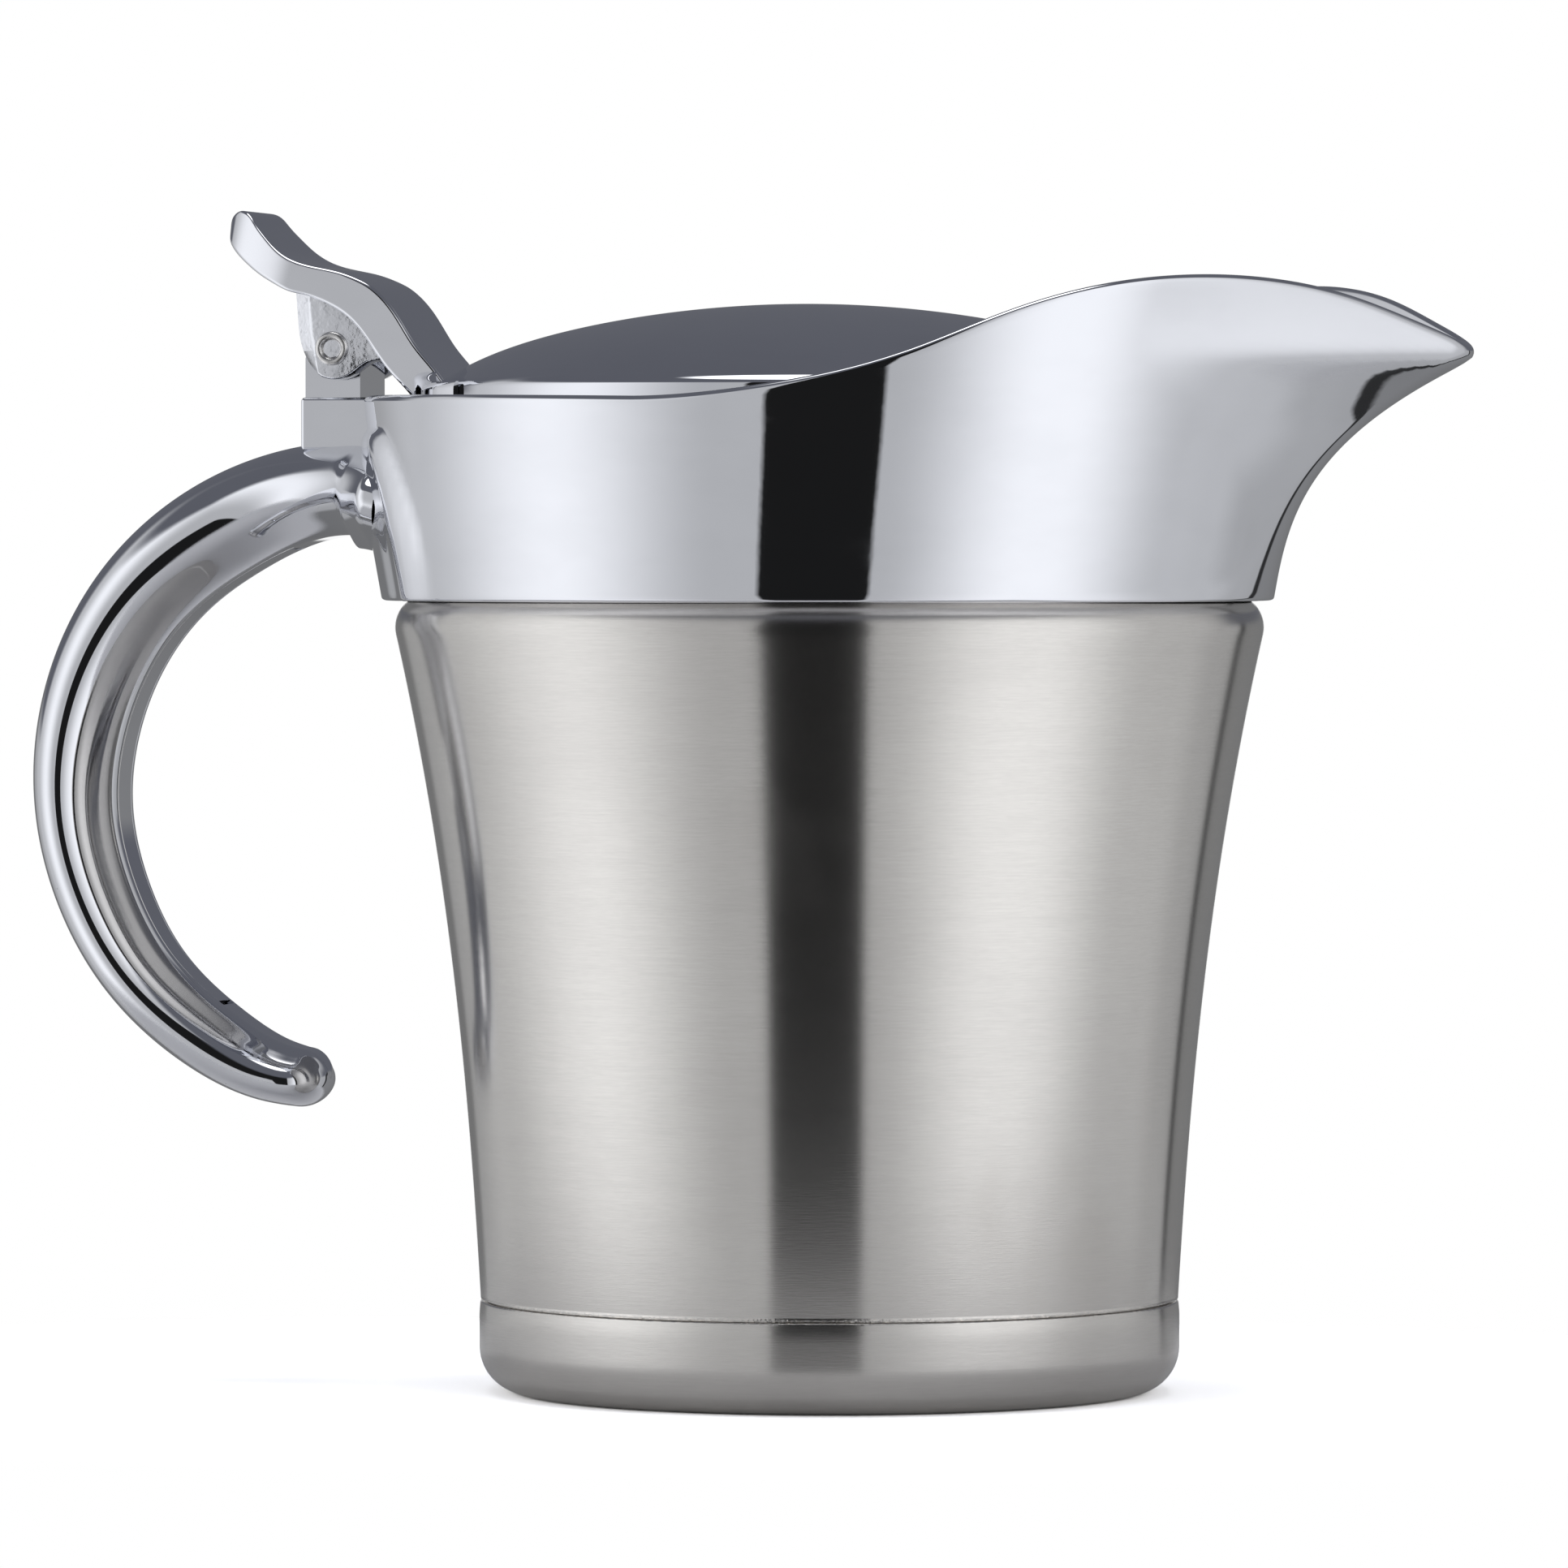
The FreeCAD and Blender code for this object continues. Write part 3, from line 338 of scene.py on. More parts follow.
class Value:
    """A shader socket on which Python's operators add Math nodes."""

    def __init__(self, shader, socket):
        self.shader = shader
        self.socket = socket

    def math(self, operation, *values, clamp=False):
        settings = {"operation": operation, "use_clamp": clamp}
        return self.shader.node("ShaderNodeMath", settings, dict(enumerate(values)))

    def __add__(self, other):
        return self.math("ADD", self, other)

    def __sub__(self, other):
        return self.math("SUBTRACT", self, other)

    def __rsub__(self, other):
        return self.math("SUBTRACT", other, self)

    def __mul__(self, other):
        return self.math("MULTIPLY", self, other)

    def __truediv__(self, other):
        return self.math("DIVIDE", self, other)

    __radd__ = __add__
    __rmul__ = __mul__

    def between(self, low, high):
        """0 below low, 1 above high."""
        settings = {"interpolation_type": "SMOOTHSTEP"}
        return self.shader.node("ShaderNodeMapRange", settings, {"Value": self, "From Min": low, "From Max": high})

    def least(self, other):
        return self.math("MINIMUM", self, other)

    def most(self, other):
        return self.math("MAXIMUM", self, other)


class Shader:
    """A node tree written as calls: each call adds a node and gives the socket that comes out of it."""

    def __init__(self, tree):
        self.tree = tree
        self.tree.nodes.clear()

    def node(self, kind, settings=None, inputs=None, out=0):
        made = self.tree.nodes.new(kind)
        for key, value in (settings or {}).items():
            setattr(made, key, value)
        for key, value in (inputs or {}).items():
            self.plug(made.inputs[key], value)
        return Value(self, made.outputs[out])

    def plug(self, socket, value):
        if isinstance(value, Value):
            self.tree.links.new(value.socket, socket)
        else:
            socket.default_value = value

    def place(self, scale=(1, 1, 1)):
        """The piece's own coordinates in metres, stretched by the scale."""
        spot = self.node("ShaderNodeTexCoord", out="Object")
        return self.node("ShaderNodeVectorMath", {"operation": "MULTIPLY"}, {0: spot, 1: scale})

    def noise(self, vector, scale, detail=2.0, roughness=0.5):
        inputs = {"Vector": vector, "Scale": scale, "Detail": detail, "Roughness": roughness}
        return self.node("ShaderNodeTexNoise", None, inputs, "Fac")

    def ramp(self, value, stops, interpolation="LINEAR"):
        """Colours or greys at places from 0 to 1."""
        made = self.tree.nodes.new("ShaderNodeValToRGB")
        made.color_ramp.interpolation = interpolation
        elements = made.color_ramp.elements
        while len(elements) < len(stops):
            elements.new(0.5)
        for element, (spot, colour) in zip(elements, stops):
            element.position = spot
            element.color = (*colour, 1) if isinstance(colour, tuple) else (colour, colour, colour, 1)
        self.plug(made.inputs[0], value)
        return Value(self, made.outputs["Color"])

    def blend(self, factor, first, second, blend_type="MIX"):
        """A colour between two colours."""
        made = self.tree.nodes.new("ShaderNodeMix")
        made.data_type = "RGBA"
        made.blend_type = blend_type
        for socket, value in ((made.inputs[0], factor), (made.inputs[6], first), (made.inputs[7], second)):
            if isinstance(value, tuple) and len(value) == 3:
                value = (*value, 1)
            self.plug(socket, value)
        return Value(self, made.outputs[2])

    def bump(self, height, depth, below=None):
        """A normal from a height of 0 to 1 that stands for a depth in metres."""
        inputs = {"Height": height, "Distance": depth, "Strength": 1.0}
        if below is not None:
            inputs["Normal"] = below
        return self.node("ShaderNodeBump", None, inputs)

    def surface(self, **inputs):
        """The finished surface. Names of sockets are written with underscores."""
        sockets = {key.replace("_", " "): value for key, value in inputs.items()}
        if isinstance(sockets.get("Base Color"), tuple):
            sockets["Base Color"] = (*sockets["Base Color"], 1)
        shade = self.node("ShaderNodeBsdfPrincipled", None, sockets)
        self.output(shade)

    def output(self, shade):
        made = self.tree.nodes.new("ShaderNodeOutputMaterial")
        self.tree.links.new(shade.socket, made.inputs["Surface"])


def material(name):
    made = bpy.data.materials.new(name)
    made.use_nodes = True
    return made, Shader(made.node_tree)


def chrome(name, tint, wobble=1.0, pitted=False):
    """Chrome over moulded plastic: a mirror with faint mould waves, wipe marks and, on the grip, small pits."""
    made, s = material(name)
    spot = s.place()
    waves = s.noise(spot, 70.0, 2.0, 0.45)
    pimples = s.noise(spot, 900.0, 1.0)
    normal = s.bump(waves, 0.000022 * wobble)
    normal = s.bump(pimples, 0.0000012 * wobble, normal)
    wiped = s.noise(s.place((1, 1, 3)), 55.0, 4.0, 0.6).between(0.52, 0.75)
    tone = s.noise(s.place((60, 60, 140)), 1.0, 3.0, 0.6).between(0.35, 0.75)
    colour = s.blend(tone, tint, tuple(0.965 * c for c in tint))
    rough = wiped * 0.04 + 0.03
    if pitted:
        pits = s.noise(spot, 1100.0, 1.0).between(0.80, 0.82) * s.noise(spot, 60.0, 0.0).between(0.50, 0.60)
        colour = s.blend(pits * 0.85, colour, (0.12, 0.12, 0.13))
        rough = rough + pits * 0.3
    s.surface(Base_Color=colour, Metallic=1.0, Roughness=rough, Normal=normal)
    return made


def cast_chrome(name, tint):
    """Chrome over a rough casting, as on the lever's ears."""
    made, s = material(name)
    spot = s.place()
    grain = s.noise(spot, 1400.0, 3.0, 0.6)
    lumps = s.noise(spot, 420.0, 2.0)
    normal = s.bump(lumps, 0.00010)
    normal = s.bump(grain, 0.00006, normal)
    pits = s.noise(spot, 1100.0, 2.0).between(0.60, 0.72)
    colour = s.blend(pits * 0.35, tint, (0.30, 0.31, 0.33))
    s.surface(Base_Color=colour, Metallic=1.0, Roughness=grain * 0.12 + 0.10, Normal=normal)
    return made


def brushed(name, tint, shade, rough, seam=None):
    """Steel brushed around the upright axis, with blotches, smudges and, on the body, a rough welded seam with a
    painted highlight along it.
    """
    made, s = material(name)
    fine = s.noise(s.place((260, 260, 9000)), 1.0, 2.0, 0.6)
    short = s.noise(s.place((900, 900, 5200)), 1.0, 1.0)
    broad = s.noise(s.place((40, 40, 900)), 1.0, 3.0, 0.6)
    cloud = s.noise(s.place(), 26.0, 4.0, 0.55)
    smudge = s.noise(s.place((1, 1, 0.6)), 44.0, 3.0, 0.5).between(0.60, 0.78)
    streaks = fine * 0.5 + short * 0.25 + broad * 0.25
    colour = s.blend(cloud.between(0.35, 0.70), tint, shade)
    colour = s.blend(streaks.between(0.30, 0.72) * 0.16, colour, tuple(0.62 * c for c in shade))
    colour = s.blend(smudge * 0.14, colour, (0.50, 0.45, 0.39))
    normal = s.bump(fine * 0.6 + short * 0.4, 0.0000055)
    roughness = streaks * 0.06 + smudge * 0.05 + (rough - 0.03)
    if seam is not None:
        height = s.node("ShaderNodeSeparateXYZ", None, {0: s.node("ShaderNodeTexCoord", out="Object")}, "Z")
        away = (height - seam * MM).math("ABSOLUTE", height - seam * MM)
        bead_and_highlight = s.noise(s.place(), 1500.0, 2.0, 0.7)
        close = 1 - away.between(0.00012, 0.00042)
        # Painted highlight: the steel along the seam is painted paler in an uneven line; the bead bump below is
        # real relief.
        colour = s.blend(close * bead_and_highlight.between(0.48, 0.62) * 0.6, colour, (0.93, 0.88, 0.82))
        normal = s.bump(close * bead_and_highlight, 0.00009, normal)
    s.surface(Base_Color=colour, Metallic=1.0, Roughness=roughness, Anisotropic=0.9,
              Anisotropic_Rotation=0.25, Normal=normal)
    return made


def turned_steel(name):
    """Bare turned steel of the pin and the screws."""
    made, s = material(name)
    grain = s.noise(s.place(), 1800.0, 3.0, 0.6)
    marks = s.noise(s.place((600, 4000, 600)), 1.0, 2.0)
    colour = s.blend(grain.between(0.45, 0.75), (0.74, 0.73, 0.72), (0.52, 0.51, 0.50))
    s.surface(Base_Color=colour, Metallic=1.0, Roughness=marks * 0.15 + 0.2, Normal=s.bump(grain, 0.00002))
    return made


def moulded_plastic(name, tint):
    made, s = material(name)
    grain = s.noise(s.place(), 2600.0, 2.0, 0.6)
    tone = s.noise(s.place(), 60.0, 3.0)
    colour = s.blend(tone.between(0.3, 0.7), tint, tuple(0.82 * c for c in tint))
    s.surface(Base_Color=colour, Roughness=tone * 0.12 + 0.42, Normal=s.bump(grain, 0.00002))
    return made


def silicone(name):
    made, s = material(name)
    tone = s.noise(s.place(), 140.0, 3.0)
    colour = s.blend(tone.between(0.35, 0.7), (0.74, 0.74, 0.72), (0.64, 0.64, 0.62))
    s.surface(Base_Color=colour, Roughness=tone * 0.1 + 0.4, Subsurface_Weight=0.15,
              Subsurface_Radius=(0.002, 0.002, 0.002), Normal=s.bump(tone, 0.00002))
    return made


def cell_foam(name):
    made, s = material(name)
    cells = s.node("ShaderNodeTexVoronoi", None, {"Vector": s.place(), "Scale": 900.0}, "Distance")
    colour = s.blend(cells, (0.90, 0.89, 0.84), (0.72, 0.70, 0.64))
    s.surface(Base_Color=colour, Roughness=cells * 0.1 + 0.8, Normal=s.bump(cells, 0.0002))
    return made


PLATE_TINT = (0.80, 0.81, 0.845)
plate_chrome = chrome("chrome_plate", PLATE_TINT)
grip_chrome = chrome("chrome_grip", PLATE_TINT, 1.0, True)
lid_chrome = chrome("lid_chrome", (0.78, 0.79, 0.83), 0.6)
ear_chrome = cast_chrome("chrome_cast", PLATE_TINT)
body_steel = brushed("brushed_body", (0.76, 0.74, 0.705), (0.70, 0.68, 0.65), 0.20, SEAM_Z)
liner_steel = brushed("satin_liner", (0.66, 0.65, 0.64), (0.60, 0.59, 0.57), 0.34)
screw_steel = turned_steel("screw_steel")
inner_plastic = moulded_plastic("inner_plastic", (0.12, 0.12, 0.13))
seal_rubber = silicone("seal_rubber")
lid_foam = cell_foam("foam")


# Steel body

def body_r(z):
    t = np.maximum(0.0, (z - SEAM_Z) / (SHOULDER_Z - SEAM_Z))
    return BASE_R + TAPER * t + FLARE * t ** FLARE_POWER


def outer_shell():
    lean = math.degrees(SHOULDER_LEAN)
    centre = (SHOULDER_R - SHOULDER_ROUND * math.cos(SHOULDER_LEAN), SHOULDER_TOP - SHOULDER_ROUND)
    low = SHELL_LOW.z
    z = np.linspace(low, SHOULDER_Z, 64)
    outside = np.stack([body_r(z), z], axis=1)
    inner_round = SHOULDER_ROUND - SHELL_WALL
    profile = np.concatenate([
        outside[:-1],
        arc_points(centre, SHOULDER_ROUND, -lean, 90, 16),
        [(NECK_R, SHOULDER_TOP), (NECK_R, NECK_TOP), (NECK_R - SHELL_WALL, NECK_TOP)],
        [(NECK_R - SHELL_WALL, SHOULDER_TOP - SHELL_WALL)],
        arc_points(centre, inner_round, 90, -lean, 10),
        (outside - (SHELL_WALL, 0))[-2::-3],
        [(body_r(low) - SHELL_WALL, low)],
    ])
    return lathe("outer_shell", profile)


def base_cup():
    seam = SEAM_Z - 0.1
    low_r = BASE_R + BASE_BULGE
    spigot = BASE_R - SHELL_WALL - 0.1
    inner = low_r - SHELL_WALL - 0.2
    ease = low_r - 0.09
    groove = arc_points((GROOVE_R, -GROOVE_DEPTH), 2 * GROOVE_DEPTH, 150, 30, 9)
    profile = np.concatenate([
        [(0, 0)],
        groove,
        straight((GROOVE_R + 2, 0), (low_r - BASE_CORNER, 0), 4),
        arc_points((low_r - BASE_CORNER, BASE_CORNER), BASE_CORNER, -90, 0, 20)[1:],
        straight((low_r, BASE_CORNER), (low_r, seam - 1.6), 6)[1:],
        [(low_r - 0.03, seam - 1.0), (ease, seam - BASE_LIP)],
        corner(np.array((ease, seam - BASE_LIP)), np.array((ease, seam)), np.array((ease - BASE_LIP, seam)))[1:],
        [(spigot, seam), (spigot, CUP_HIGH.z), (spigot - SHELL_WALL, CUP_HIGH.z)],
        [(spigot - SHELL_WALL, seam - 1.8), (inner, seam - 2.8), (inner, BASE_CORNER)],
        arc_points((inner - BASE_CORNER + SHELL_WALL, BASE_CORNER), BASE_CORNER - SHELL_WALL, 0, -90, 8)[1:],
        [(0, SHELL_WALL)],
    ])
    return lathe("base_cup", profile, along=False)


# Collar

def keel_x(z):
    rise = z - COLLAR_Z
    flared = KEEL_X + KEEL_LEAN * rise + KEEL_FLARE * (rise / TIP_RISE) ** 3
    return KEEL_REACH - math.log(1 + math.exp(KEEL_REACH - flared))


def pad_swell(degrees, z):
    """How far the pad stands out of the collar's back, by angle from the handle's side."""
    t = (z - COLLAR_Z) / PAD_H
    if t >= 1:
        return 0 * degrees
    half = PAD_LOW_ANGLE + (PAD_TOP_ANGLE - PAD_LOW_ANGLE) * max(0.0, t) ** PAD_ARCH
    share = degrees / half
    edge = np.maximum(0.0, 1 - share ** PAD_EDGE)
    ridge = PAD_RIDGE * np.exp(-((share - 0.87) / 0.075) ** 2)
    fade = min(1.0, (1 - t) * PAD_FADE)
    thick = PAD_LOW_T + (PAD_T - PAD_LOW_T) * min(1.0, 2.4 * t)
    return (thick + ridge) * np.sqrt(edge) * math.sqrt(fade * (2 - fade))


COLLAR_STEPS = 200
COLLAR_MARKS = 1 - (1 - np.linspace(0, 1, COLLAR_STEPS + 1)) ** 1.5
LEVELS = np.linspace(COLLAR_Z, COLLAR_HIGH.z + 1.0, 170)


def half_plan(z, inset):
    """The collar's plan at a height, from the middle of the back round to the tip of the nose."""
    rise = z - COLLAR_Z
    side_r = COLLAR_R + SIDE_LEAN * rise
    centre = side_r - (BACK_R + BACK_LEAN * rise)
    nose_r = NOSE_R + NOSE_ROUND * max(0.0, 1 - max(0.0, rise) / NOSE_RISE) ** NOSE_POWER
    slope = (keel_x(z + 0.1) - keel_x(z - 0.1)) / 0.2
    front = keel_x(z) - inset * math.sqrt(1 + slope * slope)
    side_r, nose_r = side_r - inset, nose_r - inset
    nose = front - nose_r
    turn = math.acos(min(0.97, (side_r - nose_r) / (nose - centre)))
    angle = np.linspace(0, math.pi - turn, 500)
    radius = side_r + (0 if inset else pad_swell(np.degrees(angle), z))
    back = np.stack([centre - radius * np.cos(angle), radius * np.sin(angle)], axis=1)
    angle = np.linspace(turn, 0, 120)
    tip = np.stack([nose + nose_r * np.cos(angle), nose_r * np.sin(angle)], axis=1)
    return resample(np.concatenate([back, tip[1:]]), COLLAR_MARKS)


def rim_height(x):
    peak = RIM_PEAK_X
    wave = spline([
        (peak - 58.0, RIM_BACK),
        (peak - 44.0, RIM_BACK + 0.09 * RIM_RISE),
        (peak - 30.2, RIM_BACK + 0.33 * RIM_RISE),
        (peak - 17.4, RIM_BACK + 0.73 * RIM_RISE),
        (peak, RIM_BACK + RIM_RISE),
        (peak + 11.5, RIM_BACK + 0.86 * RIM_RISE),
        (peak + 18.5, RIM_BACK + 0.62 * RIM_RISE),
        (KEEL_REACH + 0.2, RIM_BACK + RIM_TIP_RISE),
    ], 400, (1, 0), (1, -1))
    return np.interp(x, wave[:, 0], wave[:, 1]) + RIM_SLOPE * np.maximum(0.0, wave[0, 0] - x)


class Wall:
    """One face of the collar's wall: its plans at every level and its height at the rim."""

    def __init__(self, inset):
        plans = np.array([half_plan(z, inset) for z in LEVELS])
        self.x, self.y = plans[:, :, 0], plans[:, :, 1]
        self.top = np.array([np.interp(0, LEVELS - rim_height(self.x[:, c]), LEVELS)
                             for c in range(COLLAR_STEPS + 1)])

    def point(self, column, z):
        x = np.interp(z, LEVELS, self.x[:, column])
        y = np.interp(z, LEVELS, self.y[:, column])
        return np.array([x, y, z])

    def rise(self, column, low, high, count):
        return np.array([self.point(column, z) for z in np.linspace(low, high, count)])


def collar_section(outer, inner, column):
    """The loop round the wall, the rim, the deck and the mouth at one column of the plan."""
    top, inner_top = outer.top[column], inner.top[column]
    out_high, in_high = outer.point(column, top - RIM_ROUND), inner.point(column, inner_top - RIM_ROUND)
    out_tip, in_tip = outer.point(column, top), inner.point(column, inner_top)
    across = (in_tip - out_tip) / np.linalg.norm(in_tip - out_tip) * RIM_ROUND
    at_deck = inner.point(column, DECK_TOP)
    angle = math.atan2(at_deck[1], at_deck[0] - LID_X)
    mouth = np.array([LID_X + MOUTH_R * math.cos(angle), MOUTH_R * math.sin(angle), DECK_TOP])
    inward = (mouth - at_deck) / np.linalg.norm(mouth - at_deck)
    low, deck_low = outer.point(column, COLLAR_Z), DECK_TOP - DECK_T
    up, down = np.array([0, 0, 1.0]), np.array([0, 0, -1.0])
    foot = inner.point(column, COLLAR_Z)
    outward = (low - foot) / np.linalg.norm(low - foot)
    return np.concatenate([
        corner(low - outward * EDGE_ROUND, low, outer.point(column, COLLAR_Z + EDGE_ROUND), 4)[:-1],
        outer.rise(column, COLLAR_Z + EDGE_ROUND, top - RIM_ROUND, 46),
        corner(out_high, out_tip, out_tip + across, 7)[1:],
        corner(in_tip - across, in_tip, in_high, 7),
        inner.rise(column, inner_top - RIM_ROUND, DECK_TOP + 0.8, 16)[1:],
        corner(at_deck + up * 0.8, at_deck, at_deck + inward * 0.8, 4)[1:],
        straight(at_deck + inward * 0.8, mouth - inward * 0.4, 4)[1:],
        corner(mouth - inward * 0.4, mouth, mouth + down * 0.4, 4)[1:],
        [mouth + down * DECK_T, inner.point(column, deck_low)],
        inner.rise(column, deck_low, COLLAR_Z, 6)[1:],
    ])


def collar():
    outer, inner = Wall(0.0), Wall(COLLAR_WALL)
    half = np.array([collar_section(outer, inner, column) for column in range(COLLAR_STEPS + 1)])
    far = half[-2:0:-1] * (1, -1, 1)
    loops = np.concatenate([half, far])
    return grid_mesh("collar", loops, around=True, along=True)


# Handle

def handle_ridge():
    """Points on the handle's outer ridge, as (x, z)."""
    back, top = -BACK_R, PAD_TOP
    steps = [(-4.3, 1.9), (-1.3, 1.1), (10.2, 0.85), (21.2, 4.35), (31.5, 12.1), (38.45, 23.1), (41.2, 37.2),
             (39.1, 49.8), (33.3, 60.8), (23.9, 69.4), (15.65, 73.15), (8.2, 74.0)]
    return spline([(back - along, top - drop) for along, drop in steps], 600)


HANDLE_SHARES = [
    (1.00, 0.92), (1.00, 0.93), (1.00, 1.00), (1.00, 0.99), (1.00, 0.95), (1.00, 0.895),
    (1.00, 0.83), (0.96, 0.795), (0.89, 0.745), (0.80, 0.70), (END_WIDTH, 2 * HANDLE_END_R / HANDLE_DEPTH),
]


class Section:
    """A section of the handle: where its ridge stands, the way out of the grip, half width and depth."""

    def __init__(self, spot, out, half, deep):
        self.spot, self.out, self.half, self.deep = spot, out, half, deep

    def points(self, flat_points):
        """(y, depth) points as points in space."""
        flat = np.asarray(flat_points)
        x = self.spot[0] - self.out[0] * flat[:, 1]
        z = self.spot[1] - self.out[1] * flat[:, 1]
        return np.stack([x, flat[:, 0], z], axis=1)


def handle_sections():
    ridge = handle_ridge()
    length = np.linalg.norm(np.diff(ridge, axis=0), axis=1).sum()
    tangent = np.gradient(ridge, axis=0)
    tangent /= np.linalg.norm(tangent, axis=1)[:, None]
    marks = np.linspace(0, length, len(ridge))
    shares = np.array(HANDLE_SHARES)
    steps = np.linspace(ROOT_INSIDE, length - HANDLE_END_R, len(shares))
    smooth = spline([(s, w * 20, d * 20) for s, (w, d) in zip(steps, shares)], 400)
    run = np.concatenate([np.linspace(0.2, 26, 50)[:-1], np.linspace(26, length - HANDLE_END_R, 110)])
    end = np.radians(np.linspace(0, 90, 20))[1:]
    sections = []
    for along, angle in [(s, 0.0) for s in run] + [
            (length - HANDLE_END_R * (1 - math.sin(a)), a) for a in end]:
        sink = HANDLE_END_R * (1 - math.cos(angle))
        spot = np.array([np.interp(along, marks, ridge[:, i]) for i in (0, 1)])
        way = np.array([np.interp(along, marks, tangent[:, i]) for i in (0, 1)])
        out = np.array([way[1], -way[0]])
        half = HANDLE_HALF * np.interp(along, smooth[:, 0], smooth[:, 1]) / 20
        deep = HANDLE_DEPTH * np.interp(along, smooth[:, 0], smooth[:, 2]) / 20
        if along < length / 4:
            reach = min(max(0.0, spot[0] - ROOT_START), ROOT_REACH)
            half += ROOT_FLARE - math.sqrt(ROOT_FLARE ** 2 - reach ** 2)
            under = min(max(0.0, spot[0] + BACK_R + 3.6), ROOT_UNDER)
            deep += ROOT_UNDER - math.sqrt(ROOT_UNDER ** 2 - under ** 2)
        if angle:
            deep = 2 * (HANDLE_END_R - sink)
        left = max(0.0, 1 - (length - along) / END_ROUND)
        half *= (1 - left ** 2.4) ** (1 / 2.4)
        sections.append(Section(spot - out * sink, out, max(half, 0.02), max(deep, 0.02)))
    return sections


def handle_half(section, groove):
    """Half of a section's outline, from the ridge round to the middle of the inner face."""
    half, deep = section.half, section.deep
    wide, low = 0.985 * half, SIDE_DEPTH * deep
    flat = min(HANDLE_FLAT * half / HANDLE_HALF, 0.45 * half)
    crown = [(wide * math.sin(a), low * (1 - math.cos(a))) for a in np.radians((0, 18, 36, 54, 72, 90))]
    side = spline(crown + [
        (half * 0.95, deep * 0.57),
        (flat + (half - flat) * 0.50, deep * 0.83),
        (flat + (half - flat) * 0.12, deep * 0.975),
        (flat * 0.85, deep),
    ], 48, (1, 0), (-1, 0))
    lip = min(COVER_HALF, flat * 0.8)
    cut = COVER_DEEP * groove
    inner = [(lip + 0.12, deep), (lip, deep - 0.06 * groove), (lip - 0.01, deep - cut), (0, deep - cut)]
    return np.concatenate([side, inner])


def handle_shell(sections):
    rings = []
    for index, section in enumerate(sections):
        groove = 1.0 if 36 < index < 142 else 0.0
        half = handle_half(section, groove)
        rings.append(section.points(np.concatenate([half, half[-2:0:-1] * (-1, 1)])))
    return grid_mesh("handle_shell", capped(np.array(rings)))


def handle_cover(sections):
    half = COVER_HALF - COVER_GAP
    rings = []
    for section in sections[37:142]:
        deep = section.deep
        ring = [(half - 0.12, deep), (half, deep - 0.12), (half, deep - COVER_DEEP + 0.05),
                (-half, deep - COVER_DEEP + 0.05), (-half, deep - 0.12), (0.12 - half, deep)]
        rings.append(section.points(ring))
    return grid_mesh("handle_cover", capped(np.array(rings)))


# Hinge

def from_pin(points):
    """Points given behind and above the pin, as (x, z)."""
    return [(PIN.x - back, PIN.z + up) for back, up in points]


def hinge_post():
    back, front = POST_LOW.x, PIN.x + 2.3
    over = [(PIN.x + POST_ROUND * math.cos(a), PIN.z + POST_ROUND * math.sin(a))
            for a in np.radians(np.linspace(46, 150, 12))]
    top, block_low = RIM_BACK + 0.48, PAD_TOP - 1.5
    tower = [(front, RIM_BACK - 1.2), (front, over[0][1])] + over + [(back, PIN.z - 1), (back, RIM_BACK - 1.2)]
    block = [(-BACK_R + 0.6, block_low), (-BACK_R + 0.6, top), (back, top), (back, block_low)]
    return joined("hinge_post", [
        (0, plate("tower", tower, -POST_HALF, POST_HALF, 0.22)),
        (0, plate("block", block, -BLOCK_HALF, BLOCK_HALF, 0.45)),
    ])


def about_pin(name, profile, segments=64):
    """An (r, y) profile turned about the hinge axis."""
    turn = np.linspace(0, 2 * math.pi, segments, endpoint=False)
    r, y = profile[:, 0][:, None], profile[:, 1][:, None]
    grid = np.stack([PIN.x + r * np.cos(turn), y + 0 * turn, PIN.z + r * np.sin(turn)], axis=2)
    return grid_mesh(name, grid)


def hinge_pin():
    """A tubular rivet: rolled ring with a dished socket on the near side, low dome on the far side."""
    outer = EAR_NEAR + EAR_T
    near, far = -outer - 0.4, outer + 0.8
    ring_mid = (1.45, -outer - 0.02)
    profile = np.concatenate([
        [(0.0, near + 1.15), (0.35, near + 1.12), (0.7, near + 0.85)],
        [(0.98, near + 0.3)],
        arc_points(ring_mid, 0.42, 205, 375, 12),
        [(1.49, -outer + 0.1), (1.49, outer - 0.05), (2.35, outer), (2.4, outer + 0.12)],
        [(2.2, outer + 0.33), (1.7, outer + 0.56), (1.0, far - 0.09), (0.0, far)],
    ])
    return about_pin("hinge_pin", profile)


# Lever

LEVER_TOP = [(12.95, 13.3), (12.75, 14.2), (12.1, 14.8), (11.0, 15.2), (10.0, 14.9), (9.05, 13.8),
             (7.9, 12.45), (6.4, 10.95), (5.0, 10.0), (3.2, 9.3), (0.95, 8.8), (-1.0, 8.35), (-2.9, 7.65),
             (-4.2, 7.0), (-5.6, 5.9), (-7.1, 4.15), (-8.2, 2.45), (-9.6, 0.3), (-11.7, -2.2), (-14.0, -5.5)]
LEVER_UNDER = [(12.95, 13.3), (12.85, 12.3), (12.1, 11.2), (10.2, 9.45), (8.2, 8.0), (6.5, 7.05),
               (4.9, 6.3), (3.25, 5.9), (1.2, 5.2), (-1.6, 3.6), (-4.2, 0.6), (-6.2, -2.2), (-8.34, -4.5),
               (-11.0, -8.0)]
LEVER_PLAN = [(-20.0, 9.0), (4.5, 9.0), (7.5, 8.3), (10.0, 7.1), (11.6, 5.9), (12.5, 4.6), (12.95, 3.2)]


